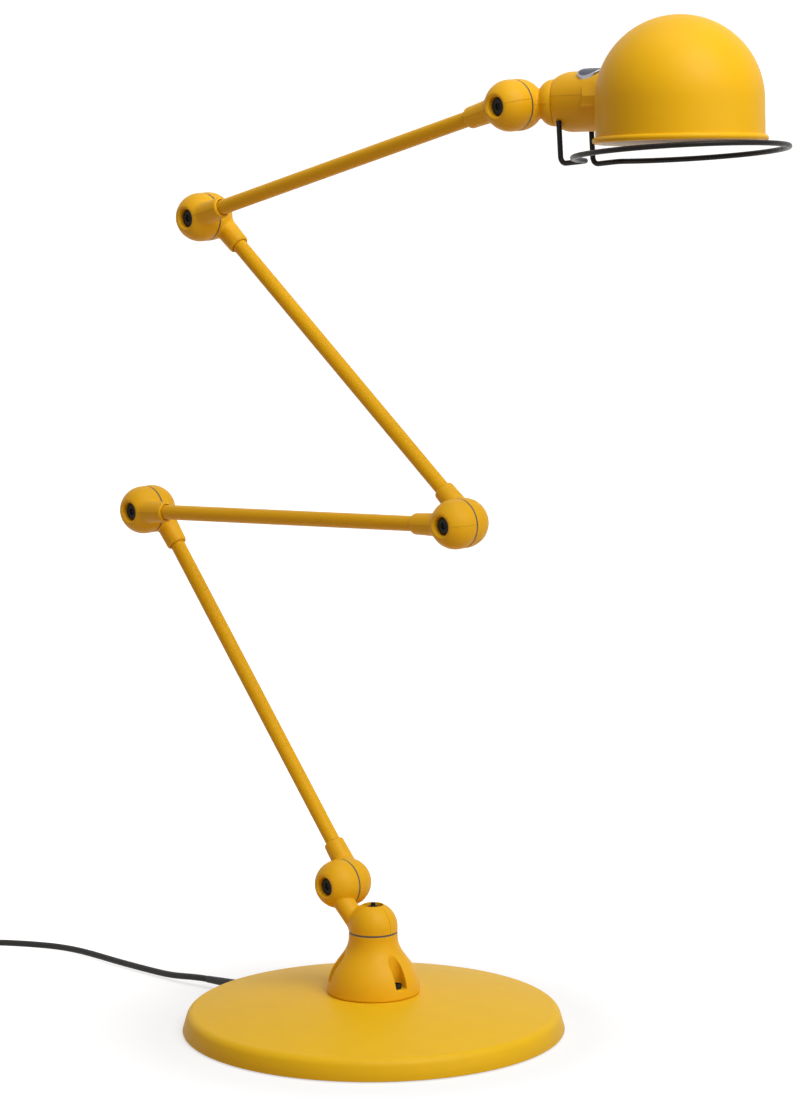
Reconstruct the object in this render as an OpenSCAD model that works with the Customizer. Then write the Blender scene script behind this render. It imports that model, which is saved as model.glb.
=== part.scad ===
// Articulated floor lamp: four equal arms with ball joints on a heavy round base, and a domed shade with a
// wire ring guard. Millimetres, Z up. The origin is on the floor, on the axis of the pedestal.

/* [Base] */
// Diameter of the base on the floor
base_d = 255; // [230:1:300]
// Diameter of the base where its side meets the rounded top edge
base_top_d = 250.4; // [224:0.2:254]
// Height of the base's side up to the rounded edge
base_side_h = 7.9; // [7.5:0.1:16]
// Radius of the rounded top edge
base_edge_r = 6.5; // [2:0.5:8]
// Rise of the domed top from the edge to the middle
base_rise = 12.1; // [6:0.1:16]
// Wall of the hollow casting
base_wall = 9; // [6:0.5:10]
// Width of the solid rim under the base
base_rim = 16; // [10:1:24]
// Number of ribs under the base
base_ribs = 6; // [4:1:10]
// Thickness of the ribs
base_rib_t = 6; // [4:0.5:10]
// Thickness of the felt disc under the base
felt_t = 1.5; // [1:0.1:3]
// Height by which the felt disc stands out of its recess
felt_proud = 0.4; // [0.2:0.1:0.8]
// Distance of the felt disc's edge from the base's edge
felt_inset = 8; // [6:0.5:9]

/* [Pedestal and swivel] */
// Diameter of the pedestal's foot
bell_foot_d = 62; // [56:1:74]
// Diameter of the pedestal's neck and of the swivel dome
dome_d = 32.6; // [30:0.2:38]
// Height of the pedestal
bell_h = 40.6; // [34:0.2:50]
// Height of the straight neck of the pedestal
bell_neck_h = 3.5; // [1:0.5:6]
// Width of the three slots over the holding screws
slot_w = 9; // [7:0.5:11]
// Distance of the slots' back wall from the axis
slot_back = 19; // [17:0.5:20]
// Height of the slots' floor above the pedestal's foot
slot_floor = 7; // [4:0.5:10]
// Distance of the holding screws from the axis
screw_ring_r = 24.5; // [23:0.5:27]
// Turn of the slots around the axis
slot_turn = -6; // [-60:1:60]
// Height of the dome's straight side
dome_side_h = 3; // [2:0.2:8]
// Diameter of the recess on top of the dome
dome_recess_d = 13.2; // [11:0.2:16]
// Depth of that recess
dome_recess_h = 6; // [4:0.5:8]
// Diameter of the swivel bolt
swivel_bolt_d = 5; // [4:0.5:6]

/* [Ball joints] */
// Diameter of the balls
ball_d = 32.5; // [31:0.1:40]
// Length of the straight part between the seam and the round end of a half-ball
ball_straight = 3.8; // [3:0.1:6]
// Depth by which a ball is cut flat around its screw recess
lip_cut = 2.2; // [1.6:0.1:3]
// Diameter of the screw recesses
recess_d = 12.4; // [11.6:0.1:14]
// Chamfer at the mouth of the recesses
recess_chamfer = 1.2; // [0.3:0.1:1.6]
// Distance of the bolt head's seat from the middle of the ball
seat_y = 9.5; // [8:0.5:11]
// Diameter of the joint bolts
bolt_d = 6; // [5:0.5:7]
// Thickness of a contact disc that shows in the seam
seam_t = 0.55; // [0.3:0.05:1]
// Depth of the contact disc's seat in its half-ball
disc_seat = 1.2; // [0.8:0.1:2]
// Amount by which a contact disc is smaller than the ball
disc_inset = 0.5; // [0.2:0.1:2]
// Running gap between two contact discs
disc_gap = 0.1; // [0.04:0.02:0.3]

/* [Arms] */
// Distance between the centres of an arm's two balls
arm_len = 300; // [240:5:400]
// Outer diameter of the tubes
tube_d = 10; // [8:0.5:10]
// Wall of the tubes
tube_wall = 1.2; // [0.8:0.1:2]
// Outer diameter of the sockets that hold the tubes
boss_d = 13.9; // [13.4:0.1:15]
// Growth of the socket's diameter towards its ball
boss_draft = 0.7; // [0:0.1:0.8]
// Distance of the socket's end from the centre of its ball
boss_reach = 30.5; // [28:0.5:40]
// Chamfer at the socket's end
boss_chamfer = 1.1; // [0.5:0.1:1.2]
// Countersink at the mouth of the sockets
socket_mouth = 0.4; // [0.2:0.1:0.4]
// Distance of the arm axes from the seam
boss_offset = 9.8; // [9:0.1:10]
// Diameter of the lead inside a tube
lead_d = 4; // [3:0.5:5]
// First joint's distance behind the swivel axis
joint_1_back = 28.4; // [26:0.1:34]
// First joint's height above the swivel seam
joint_1_rise = 27.6; // [26:0.1:40]
// Diameter of the stub between dome and first ball
stub_d = 14; // [12:0.2:16]
// Direction of the stub
stub_angle = 129; // [115:1:140]
// Turn of the stub towards the swivel axis
stub_turn = 9; // [0:1:14]
// Direction of the first arm at rest
arm_1_angle = 129.3; // [100:0.1:150]
// Direction of the second arm at rest
arm_2_angle = 4.5; // [-20:0.1:40]
// Direction of the third arm at rest
arm_3_angle = 142.6; // [120:0.1:155]
// Direction of the fourth arm at rest
arm_4_angle = 17.1; // [0:0.1:50]

/* [Neck and housing] */
// Direction of the neck at rest
neck_angle = 4.4; // [-40:0.1:60]
// Turn of the neck's cup away from the seam
neck_turn = 27.5; // [24:0.5:32]
// Distance of the cup's start from the seam
neck_offset = 8; // [7:0.5:9]
// Length of the neck up to the swivel seam
neck_len = 21.5; // [20:0.5:26]
// Diameter of the cup at the swivel seam
cup_d = 29.4; // [27:0.2:32]
// Radius of the cup's rounded back
cup_round = 9; // [6:0.5:10]
// Turn of the head about the housing's axis at rest
head_roll = -4.2; // [-30:0.1:30]
// Outer diameter of the lamp housing
housing_d = 37.7; // [36:0.1:42]
// Bore of the lamp housing
housing_bore_d = 30.4; // [29.4:0.2:32]
// Outer diameter of the hollow swivel tube
neck_tube_d = 10; // [9:0.5:12]
// Running gap at the head's swivel seam
head_gap = 0.15; // [0.05:0.05:0.4]
// Length of the lugs beside the housing
lug_len = 13; // [8:0.5:18]
// Height of the lugs
lug_h = 13; // [10:0.2:16]
// Amount by which the lugs stand proud of the housing
lug_proud = 3; // [2:0.1:5]
// Turn of the housing's casting against the shade
housing_turn = -6; // [-15:1:15]
// Diameter of the round plate on the housing
plate_d = 18; // [12:0.5:22]
// Distance of the plate's middle from the round back
plate_x = 20; // [12:0.5:24]
// Turn of the plate from the top towards the near side
plate_turn = 18; // [-30:1:40]
// Thickness of the plate
plate_t = 2.4; // [1:0.1:3]

/* [Shade and ring guard] */
// Outer diameter of the shade
shade_d = 104; // [96:1:116]
// Wall of the shade
shade_wall = 1.2; // [0.8:0.1:2]
// Height of the shade's straight skirt
skirt_h = 24.2; // [16:0.2:36]
// Diameter of the rolled bead at the rim
bead_d = 4; // [3:0.2:6]
// Distance of the shade's axis from the back of the housing
shade_reach = 87.8; // [80:0.2:100]
// Drop of the shade's middle below the housing's axis
shade_drop = 1.4; // [0:0.2:4]
// Tilt of the shade against the housing
shade_tilt = 1; // [0:0.2:6]
// Diameter of the ring guard's wire
wire_d = 3.4; // [2.4:0.1:4]
// Radius of the ring guard
ring_r = 66.2; // [64:0.2:74]
// Set-back of the ring guard from the shade's axis
ring_back = 1.2; // [0:0.2:4]
// Tilt of the ring guard against the housing
ring_tilt = 3.6; // [0:0.2:6]
// Drop of the ring guard below the shade's rim
ring_drop = 7.8; // [7:0.2:16]
// Half the distance between the ring guard's legs
leg_half = 14.8; // [14:0.1:16]
// Radius of the ring guard's bends
bend_r = 4.4; // [3.5:0.1:6]
// Diameter of the bulb
bulb_d = 45; // [40:1:47]
// Diameter of the bulb's cap
bulb_cap_d = 13.6; // [12:0.2:16]

/* [Cord, switch and plug] */
// Diameter of the cord
cord_d = 4.4; // [4:0.1:5]
// Height of the cord's gland above the floor
gland_z = 6.2; // [6:0.2:7]
// Length of the gland outside the base
gland_len = 30.5; // [24:0.5:46]
// Diameter of the gland at the base
gland_d = 7.2; // [6.6:0.2:7.8]
// Turn of the gland away from the base's middle line
gland_turn = 10; // [0:1:20]
// Length of the cord switch
switch_len = 58; // [50:1:64]
// Width of the cord switch
switch_w = 24; // [20:0.5:28]
// Height of the cord switch
switch_h = 16; // [14:0.5:20]
// Length of the switch's rocker
rocker_len = 15; // [12:0.5:18]
// Width of the rocker
rocker_w = 8; // [6:0.5:10]
// Radius of the coil's inner turns
coil_in_r = 18.2; // [17.8:0.1:20]
// Turns of the coil in each of its layers
coil_layer_turns = 1.963; // [1.963:1:3.963]
// Distance between neighbouring turns
coil_pitch = 5.6; // [5.5:0.1:7]
// Distance between the coil's layers
coil_layer_h = 5.4; // [5.3:0.1:7]
// Thickness of the coil's tie
tie_t = 0.7; // [0.5:0.1:0.9]
// Width of the tie
tie_w = 8; // [5:0.5:12]
// Length of the plug's body
plug_len = 34; // [28:1:44]
// Length of the plug's pins
pin_len = 19; // [17:0.5:20]
// Diameter of the plug's pins
pin_d = 4.8; // [4:0.2:5]
// Distance between the plug's pins
pin_pitch = 19; // [17:0.5:20]

/* [Hidden] */

$fn = 96;

// Overlap that lets a cut pass cleanly through a face
cut = 1;
// Radial clearance of running fits
run_clear = 0.05;
// Radial clearance of pieces that are fixed in one another
fit_clear = 0.05;
// Clearance of a piece that lies loosely beside another
lay_clear = 0.2;
// Clearance between castings that pass one another
sweep_clear = 0.4;

// Colours
paint = [0.93, 0.68, 0.13];
grey = [0.45, 0.45, 0.46];
black = [0.06, 0.06, 0.06];
steel = [0.7, 0.7, 0.72];
white = [0.93, 0.93, 0.9];
slate = [0.2, 0.23, 0.3];

// Places of the base and the swivel
base_edge_z = felt_proud + base_side_h;
base_flat_r = base_top_d / 2 - base_edge_r;
base_edge_top = base_edge_z + base_edge_r;
dome_cap_r = (base_flat_r * base_flat_r + base_rise * base_rise) / (2 * base_rise);
base_top_z = base_edge_top + base_rise;
base_chamfer = 0.8;
base_side = [base_d / 2 - base_flat_r, base_edge_z - felt_proud - base_chamfer];
base_lean = atan2(base_side[0], base_side[1]) - asin(min(1, base_edge_r / norm(base_side)));
felt_r = base_d / 2 - felt_inset;
bell_foot_z = base_top_z - bell_foot_d * bell_foot_d / 8 / dome_cap_r;
bell_top_z = bell_foot_z + bell_h;
seam_half = seam_t + disc_gap / 2;
dome_z = bell_top_z + 2 * seam_half;
dome_ball_z = dome_z + dome_side_h;
dome_top_z = dome_ball_z + sqrt(dome_d * dome_d - dome_recess_d * dome_recess_d) / 2;
dome_recess_z = dome_top_z - dome_recess_h;
swivel_seat_d = dome_d - 6;
swivel_spring_h = 1.2;
swivel_nut_h = 3.4;
swivel_nut_z = dome_recess_z + run_clear + swivel_spring_h;
swivel_tip_z = swivel_nut_z + swivel_nut_h + 2.6;
screw_d = 4;
screw_head_d = 6.4;
screw_head_h = 4;

// Places of the ball joints
function along(angle, length) = length * [cos(angle), 0, sin(angle)];
arm_angles = [arm_1_angle, arm_2_angle, arm_3_angle, arm_4_angle];
joint_1 = [-joint_1_back, 0, dome_z + joint_1_rise];
joint_2 = joint_1 + along(arm_1_angle, arm_len);
joint_3 = joint_2 + along(arm_2_angle, arm_len);
joint_4 = joint_3 + along(arm_3_angle, arm_len);
joint_5 = joint_4 + along(arm_4_angle, arm_len);
joints = [joint_1, joint_2, joint_3, joint_4, joint_5];

// Sizes inside the ball joints
ball_end = ball_straight + ball_d / 2;
lip_y = ball_end - lip_cut;
disc_d = ball_d - disc_inset;
disc_seat_d = disc_d - 5;
bolt_head_d = recess_d - 2.8;
bolt_head_h = 5;
bolt_drive_d = 5.2;
spring_h = 1.5;
spring_d = recess_d - 1.4;
nut_d = recess_d - 1.5;
nut_h = 3.6;
bolt_tip = 0.8;
boss_start = recess_d / 2 + 0.8;
boss_len = boss_reach - boss_start - boss_chamfer;
socket_start = ball_d / 2 + 1.5;
wire_way_d = lead_d + 1;
wire_way_x = recess_d / 2 + wire_way_d / 2 + 2.4;
tube_gap = 0.3;

// Sizes of the head
housing_r = housing_d / 2;
shade_r = shade_d / 2;
cup_r = cup_d / 2;
housing_set = sqrt(housing_r * housing_r - cup_r * cup_r);
rear_wall = 6;
collar_d = 15;
collar_h = 2.6;
tube_collar_gap = 0.1;
neck_tube_sink = 6;
lampholder_d = housing_bore_d - 2 * lay_clear;
lampholder_back = 4;
shade_back = shade_reach - sqrt(shade_r * shade_r - housing_r * housing_r);
shade_hole_d = lampholder_d + 2 * lay_clear;
shade_in_r = shade_r - shade_wall;
ring_nut_d = shade_hole_d + 9;
ring_nut_h = 4;
ring_nut_x = shade_reach - sqrt(shade_in_r * shade_in_r - ring_nut_d * ring_nut_d / 4) + lay_clear + 0.6;
lampholder_front = ring_nut_x + ring_nut_h + 3;
bulb_x = shade_reach + 2;
glass_t = 1;
bulb_cap_x = lampholder_front - 16;
ring_x = shade_reach - ring_back;
ring_z = -shade_drop - skirt_h - ring_drop;
leg_x = -ring_x;
leg_socket = 5;
leg_end_z = sqrt(housing_r * housing_r - leg_half * leg_half) - leg_socket;
bend_swell = 0.1;
bend_lap = 0.3;

// Sizes of the cord's pieces
gland_tip_d = cord_d + 1.2;
gland_root = 10;
gland_dir = [-cos(gland_turn), -sin(gland_turn), 0];
gland_tip = [-base_d / 2, 0, 0] + gland_len * gland_dir;
cord_z = cord_d / 2 + tie_t + lay_clear + 0.1;
cord_sides = 8;
coil_sides = 6;
coil_rings = 24;
coil_layers = 4;
coil_turns = coil_layers * coil_layer_turns + (coil_layers - 1) / 2;
coil_out_r = coil_in_r + coil_layer_turns * coil_pitch;
coil_top_z = cord_z + (coil_layers - 1) * coil_layer_h;
plug_d = 2 * coil_top_z;
relief_len = 14;
switch_split = switch_h / 2;
rocker_z = switch_h - 2;
rocker_clear = 0.35;
rocker_pin_d = 2;
rocker_deep = 5;

// Floor direction of the switch, and places of switch and coil
switch_dir = [-0.8, -0.6, 0];
switch_side = [-0.6, 0.8, 0];
switch_turn = atan2(switch_dir[1], switch_dir[0]);
switch_start = gland_tip + [-203, -38, 0];
switch_end = switch_start + switch_len * switch_dir;
coil_sweep_r = coil_out_r + cord_d / 2;
coil_side = coil_out_r - switch_w / 2;
coil_lead = sqrt(coil_sweep_r * coil_sweep_r - coil_side * coil_side) + 2;
coil_start = switch_end + coil_lead * switch_dir;
coil_middle = coil_start + coil_out_r * switch_side;
coil_start_angle = atan2(-switch_side[1], -switch_side[0]);

// Points that the free cord follows from the gland to the switch, and its height between floor and gland
function free_point(x, y, lift) = gland_tip + [x, y, cord_z + lift * (gland_z - cord_z)];
cord_route = [
    free_point(0, 0, 1),
    gland_tip + cord_d * gland_dir + [0, 0, gland_z],
    free_point(-14.5, -2.4, 0.8),
    free_point(-26.5, -3.4, 0.37),
    free_point(-38.5, -3.6, 0.07),
    free_point(-50.5, -3.8, 0),
    free_point(-64.5, -4, 0),
    free_point(-78.5, -4, 0),
    free_point(-92.5, -3.7, 0),
    free_point(-106.5, -3, 0),
    free_point(-120.5, -2.6, 0),
    free_point(-132.5, -3, 0),
    free_point(-144.5, -4.8, 0),
    free_point(-155.5, -8.2, 0),
    free_point(-165.5, -12.8, 0),
    free_point(-175.5, -18.3, 0),
    free_point(-185.5, -24.8, 0),
    switch_start - 2 * cord_d * switch_dir + [0, 0, cord_z],
    switch_start - cord_d * switch_dir + [0, 0, cord_z],
    switch_start + [0, 0, cord_z]
];

// Outline helpers: an arc of points, and a curve through four guide points
function arc(middle, r, from, to, steps = 8) =
    [for (i = [0:steps]) let (a = from + (to - from) * i / steps) middle + r * [cos(a), sin(a)]];
function curve(a, b, c, d, steps = 16) =
    [for (i = [0:steps]) let (t = i / steps, s = 1 - t)
        s * s * s * a + 3 * s * s * t * b + 3 * s * t * t * c + t * t * t * d];

// Tube helpers: a ring of points square to a direction, and the faces between rings
function unit(v) = v / norm(v);
function ring_points(place, dir, r, sides) =
    let (side = unit(cross(dir, [0, 0, 1])), up = cross(side, dir))
    [for (k = [0:sides - 1]) let (a = 360 * (k + 0.5) / sides) place + r * (cos(a) * side + sin(a) * up)];
function heading(route, i) =
    i == 0 ? unit(route[1] - route[0]) :
    i == len(route) - 1 ? unit(route[i] - route[i - 1]) :
    unit(unit(route[i + 1] - route[i]) + unit(route[i] - route[i - 1]));
function tube_faces(rings, sides) = concat(
    [for (k = [1:sides - 2]) [0, k, k + 1]],
    [for (i = [0:rings - 2], k = [0:sides - 1]) let (n = (k + 1) % sides)
        [i * sides + k, (i + 1) * sides + k, i * sides + n]],
    [for (i = [0:rings - 2], k = [0:sides - 1]) let (n = (k + 1) % sides)
        [i * sides + n, (i + 1) * sides + k, (i + 1) * sides + n]],
    [for (k = [1:sides - 2]) let (e = (rings - 1) * sides) [e, e + k + 1, e + k]]);
module swept_tube(route, d, sides) {
    points = [for (i = [0:len(route) - 1]) each ring_points(route[i], heading(route, i), d / 2, sides)];
    polyhedron(points, tube_faces(len(route), sides));
}

// The coil's centreline: it spirals in and out, and climbs a layer in the half turn at each reversal
function climb(t) = (1 - cos(180 * t)) / 2;
function coil_leg(turn) = min(coil_layers - 1, floor(turn / (coil_layer_turns + 0.5)));
function coil_part(turn) = turn - coil_leg(turn) * (coil_layer_turns + 0.5);
function coil_in(turn) = min(1, coil_part(turn) / coil_layer_turns);
function coil_radius(turn) = coil_leg(turn) % 2 == 0 ?
    coil_out_r - coil_in(turn) * (coil_out_r - coil_in_r) :
    coil_in_r + coil_in(turn) * (coil_out_r - coil_in_r);
function coil_height(turn) = cord_z + coil_layer_h *
    (coil_leg(turn) + climb(max(0, coil_part(turn) - coil_layer_turns) * 2));
function coil_point(turn) = coil_middle + [0, 0, coil_height(turn)] + coil_radius(turn) *
    [cos(coil_start_angle - 360 * turn), sin(coil_start_angle - 360 * turn), 0];
coil_steps = round(coil_turns * coil_rings);
coil_end_angle = coil_start_angle - 360 * coil_turns;
coil_end_dir = [sin(coil_end_angle), -cos(coil_end_angle), 0];
plug_lead = max(1.5 * cord_d, coil_sweep_r - relief_len + 1);
coil_end = coil_point(coil_turns) + plug_lead * coil_end_dir;
coil_route = concat(
    [for (d = [0, cord_d, coil_lead / 2, coil_lead - cord_d]) switch_end + d * switch_dir + [0, 0, cord_z]],
    [for (i = [0:coil_steps]) coil_point(coil_turns * i / coil_steps)],
    [coil_end - cord_d * coil_end_dir, coil_end]);
// Least free space between turns that pass one another
coil_gap = min([for (i = [0:coil_steps], j = [i + 12:coil_steps])
    norm(coil_point(coil_turns * i / coil_steps) - coil_point(coil_turns * j / coil_steps))]) - cord_d;
echo("least gap between the coil's turns", coil_gap);

// Turns a piece drawn along Z so that it points along X
module along_x() { rotate([0, 90, 0]) children(); }
// Turns a piece drawn along Z so that it points along Y
module along_y() { rotate([-90, 0, 0]) children(); }
// Chooses the near or the far side of the seam for a piece drawn on the far side
module on_side(side) { mirror([0, side < 0 ? 1 : 0, 0]) children(); }
// Places a piece on a ball joint, with X in the given direction
module at_joint(index, angle) { translate(joints[index - 1]) rotate([0, -angle, 0]) children(); }

// One half of a ball, drawn on the far side, without its cuts
module half_ball_body() {
    translate([0, seam_half, 0]) along_y() cylinder(d = ball_d, h = ball_straight - seam_half);
    intersection() {
        translate([0, ball_straight, 0]) sphere(d = ball_d);
        translate([0, ball_straight, 0]) along_y() cylinder(d = 2 * ball_d, h = lip_y - ball_straight);
    }
}

// Bolt bore, screw recess and disc seat of one half of a ball
module half_ball_cuts() {
    along_y() cylinder(d = bolt_d + 2 * run_clear, h = ball_d);
    translate([0, seat_y, 0]) along_y() cylinder(d = recess_d, h = ball_d);
    translate([0, lip_y - recess_chamfer, 0]) along_y()
        cylinder(d1 = recess_d, d2 = recess_d + 4 * recess_chamfer, h = 2 * recess_chamfer);
    translate([0, seam_half - cut, 0]) along_y()
        cylinder(d = disc_seat_d + 2 * fit_clear, h = disc_seat + cut);
}

// Casting at the end of an arm: half a ball with a socket for the tube along X
module arm_half(side) {
    on_side(side) difference() {
        union() {
            half_ball_body();
            translate([boss_start, boss_offset, 0]) along_x() {
                cylinder(d1 = boss_d + 2 * boss_draft, d2 = boss_d, h = boss_len);
                translate([0, 0, boss_len])
                    cylinder(d1 = boss_d, d2 = boss_d - 2 * boss_chamfer, h = boss_chamfer);
            }
        }
        half_ball_cuts();
        translate([socket_start, boss_offset, 0]) along_x()
            cylinder(d = tube_d + 2 * fit_clear, h = boss_reach);
        translate([boss_reach - socket_mouth, boss_offset, 0]) along_x()
            cylinder(d1 = tube_d, d2 = tube_d + 4 * socket_mouth, h = 2 * socket_mouth);
        translate([wire_way_x, boss_offset, 0]) along_x() cylinder(d = wire_way_d, h = boss_reach);
        translate([wire_way_x, 0, 0]) along_y() cylinder(d = wire_way_d, h = boss_offset);
    }
}

// Contact disc of one half of a ball, with the boss that sits in the half's seat
module contact_disc(side) {
    color(grey) on_side(side) difference() {
        union() {
            translate([0, disc_gap / 2, 0]) along_y() cylinder(d = disc_d, h = seam_t);
            translate([0, seam_half, 0]) along_y() cylinder(d = disc_seat_d, h = disc_seat - fit_clear);
        }
        along_y() cylinder(d = bolt_d + 2 * run_clear, h = ball_d);
    }
}

// Joint bolt: its head sits in the near recess and its shank passes through both halves
module joint_bolt() {
    color(black) difference() {
        union() {
            translate([0, -seat_y - bolt_head_h, 0]) along_y() cylinder(d = bolt_head_d, h = bolt_head_h);
            translate([0, -seat_y, 0]) along_y()
                cylinder(d = bolt_d, h = 2 * seat_y + run_clear + spring_h + nut_h + bolt_tip);
        }
        translate([0, -seat_y - bolt_head_h - cut, 0]) along_y()
            cylinder(d = bolt_drive_d, h = bolt_head_h / 2 + cut, $fn = 6);
    }
}

// Joint nut in the far recess
module joint_nut() {
    color(black) translate([0, seat_y + run_clear + spring_h, 0]) along_y() difference() {
        cylinder(d = nut_d, h = nut_h, $fn = 6);
        translate([0, 0, -cut]) cylinder(d = bolt_d + 2 * fit_clear, h = nut_h + 2 * cut);
    }
}

// Conical spring washer under the nut
module joint_spring() {
    inner = bolt_d / 2 + fit_clear;
    sheet = spring_h / 2;
    color(steel) translate([0, seat_y + run_clear, 0]) along_y() rotate_extrude()
        polygon([[inner, sheet], [spring_d / 2, 0], [spring_d / 2, sheet], [inner, spring_h]]);
}

// Tube of one arm, along X from its lower ball
module arm_tube(index) {
    side = index % 2 == 1 ? 1 : -1;
    color(paint) at_joint(index, arm_angles[index - 1])
        translate([socket_start + tube_gap, side * boss_offset, 0]) along_x() difference() {
            cylinder(d = tube_d, h = arm_len - 2 * (socket_start + tube_gap));
            translate([0, 0, -cut]) cylinder(d = tube_d - 2 * tube_wall, h = arm_len);
        }
}

// Insulated lead that lies in the tube of one arm
module arm_lead(index) {
    side = index % 2 == 1 ? 1 : -1;
    drop = tube_d / 2 - tube_wall - lead_d / 2 - lay_clear;
    color(black) at_joint(index, arm_angles[index - 1])
        translate([wire_way_x, side * boss_offset, -min(drop, wire_way_d / 2 - lead_d / 2 - lay_clear)])
            along_x() cylinder(d = lead_d, h = arm_len - 2 * wire_way_x);
}

// Castings at the two ends of one arm
module arm_lower_half(index) {
    side = index % 2 == 1 ? 1 : -1;
    color(paint) at_joint(index, arm_angles[index - 1]) arm_half(side);
}
module arm_upper_half(index) {
    side = index % 2 == 1 ? 1 : -1;
    color(paint) at_joint(index + 1, arm_angles[index - 1] + 180) arm_half(side);
}

// Contact discs at the two ends of one arm
module arm_discs(index) {
    side = index % 2 == 1 ? 1 : -1;
    for (end = [index, index + 1]) at_joint(end, 0) contact_disc(side);
}

// Bolts, nuts and spring washers at the two ends of one arm
module arm_bolts(index) { for (end = [index, index + 1]) at_joint(end, 0) joint_bolt(); }
module arm_nuts(index) { for (end = [index, index + 1]) at_joint(end, 0) joint_nut(); }
module arm_springs(index) { for (end = [index, index + 1]) at_joint(end, 0) joint_spring(); }

// Heavy domed base, hollow and ribbed underneath
module base_disc() {
    rim_r = base_d / 2;
    inner_r = rim_r - base_rim;
    hub_r = bell_foot_d / 2;
    outline = concat(
        [[0, felt_proud], [rim_r - base_chamfer, felt_proud], [rim_r, felt_proud + base_chamfer]],
        arc([base_flat_r, base_edge_z], base_edge_r, base_lean, 90),
        [[base_flat_r, base_top_z + cut], [0, base_top_z + cut]]);
    color(paint) difference() {
        intersection() {
            rotate_extrude() polygon(outline);
            union() {
                translate([0, 0, base_top_z - dome_cap_r]) sphere(r = dome_cap_r, $fn = 240);
                cylinder(r = rim_r + cut, h = base_edge_top);
            }
        }
        difference() {
            intersection() {
                translate([0, 0, felt_t - cut]) cylinder(r = inner_r, h = base_top_z);
                translate([0, 0, base_top_z - dome_cap_r - base_wall]) sphere(r = dome_cap_r, $fn = 240);
            }
            cylinder(r = hub_r, h = base_top_z);
            for (i = [0:base_ribs - 1]) rotate(360 * (i + 0.5) / base_ribs)
                translate([0, -base_rib_t / 2, 0]) cube([rim_r - base_rim / 2, base_rib_t, base_top_z]);
        }
        translate([0, 0, -cut]) cylinder(d = swivel_bolt_d + 2 * fit_clear, h = base_top_z + 2 * cut);
        for (i = [0:2]) rotate(slot_turn + 120 * i) translate([screw_ring_r, 0, -cut])
            cylinder(d = screw_d + 2 * fit_clear, h = base_top_z + 2 * cut);
        translate([0, 0, -cut]) cylinder(r = felt_r + fit_clear, h = felt_t + cut);
        at_gland() cylinder(d = gland_d + 2 * fit_clear, h = gland_len + base_rim + cut);
    }
}

// Felt disc in its recess under the base
module base_felt() { color(black) cylinder(r = felt_r, h = felt_t); }

// Bell-shaped pedestal with three slots over its holding screws
module pedestal() {
    foot_r = bell_foot_d / 2;
    neck_r = dome_d / 2;
    neck_z = bell_top_z - bell_neck_h;
    outline = concat(
        [[0, bell_foot_z - cut], [foot_r, bell_foot_z - cut]],
        curve([foot_r, bell_foot_z], [foot_r, bell_foot_z + 0.52 * bell_h],
              [neck_r + 1, neck_z - 0.34 * bell_h], [neck_r, neck_z]),
        [[neck_r, bell_top_z], [0, bell_top_z]]);
    color(paint) difference() {
        rotate_extrude() polygon(outline);
        translate([0, 0, base_top_z - dome_cap_r]) sphere(r = dome_cap_r, $fn = 240);
        for (i = [0:2]) rotate(slot_turn + 120 * i) {
            translate([slot_back, -slot_w / 2, bell_foot_z + slot_floor]) cube([foot_r, slot_w, bell_h]);
            translate([screw_ring_r, 0, 0]) cylinder(d = screw_d + 2 * fit_clear, h = bell_top_z);
        }
        translate([0, 0, -cut]) cylinder(d = swivel_bolt_d + 2 * fit_clear, h = bell_top_z + 2 * cut);
        translate([0, 0, bell_top_z - disc_seat])
            cylinder(d = swivel_seat_d + 2 * fit_clear, h = disc_seat + cut);
    }
}

// Cap screws that hold the pedestal on the base
module pedestal_screws() {
    shank = slot_floor + base_wall;
    color(black) for (i = [0:2]) rotate(slot_turn + 120 * i)
        translate([screw_ring_r, 0, bell_foot_z + slot_floor]) difference() {
            union() {
                cylinder(d = screw_head_d, h = screw_head_h);
                translate([0, 0, -shank]) cylinder(d = screw_d, h = shank);
            }
            translate([0, 0, screw_head_h / 2]) cylinder(d = 3.6, h = screw_head_h, $fn = 6);
        }
}

// Contact disc of the swivel, drawn with its seat below
module swivel_disc() {
    color(grey) difference() {
        union() {
            cylinder(d = dome_d - disc_inset, h = seam_t);
            translate([0, 0, fit_clear - disc_seat]) cylinder(d = swivel_seat_d, h = disc_seat);
        }
        translate([0, 0, -2 * disc_seat]) cylinder(d = swivel_bolt_d + 2 * run_clear, h = 4 * disc_seat);
    }
}
module swivel_lower_disc() { translate([0, 0, bell_top_z]) swivel_disc(); }
module swivel_upper_disc() { translate([0, 0, dome_z]) mirror([0, 0, 1]) swivel_disc(); }

// Swivel bolt, which stands in the base and ends in the dome's recess
module swivel_bolt() {
    foot = base_top_z - base_wall;
    color(black) translate([0, 0, foot]) cylinder(d = swivel_bolt_d, h = swivel_tip_z - foot);
}

// Nut on the swivel bolt, in the dome's recess
module swivel_nut() {
    color(black) translate([0, 0, swivel_nut_z]) difference() {
        cylinder(d = dome_recess_d - 3.6, h = swivel_nut_h, $fn = 6);
        translate([0, 0, -cut]) cylinder(d = swivel_bolt_d + 2 * fit_clear, h = swivel_nut_h + 2 * cut);
    }
}

// Conical spring washer under the swivel nut
module swivel_spring() {
    inner = swivel_bolt_d / 2 + fit_clear;
    outer = dome_recess_d / 2 - 1;
    sheet = swivel_spring_h / 2;
    color(steel) translate([0, 0, dome_recess_z + run_clear]) rotate_extrude()
        polygon([[inner, sheet], [outer, 0], [outer, sheet], [inner, swivel_spring_h]]);
}

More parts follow.
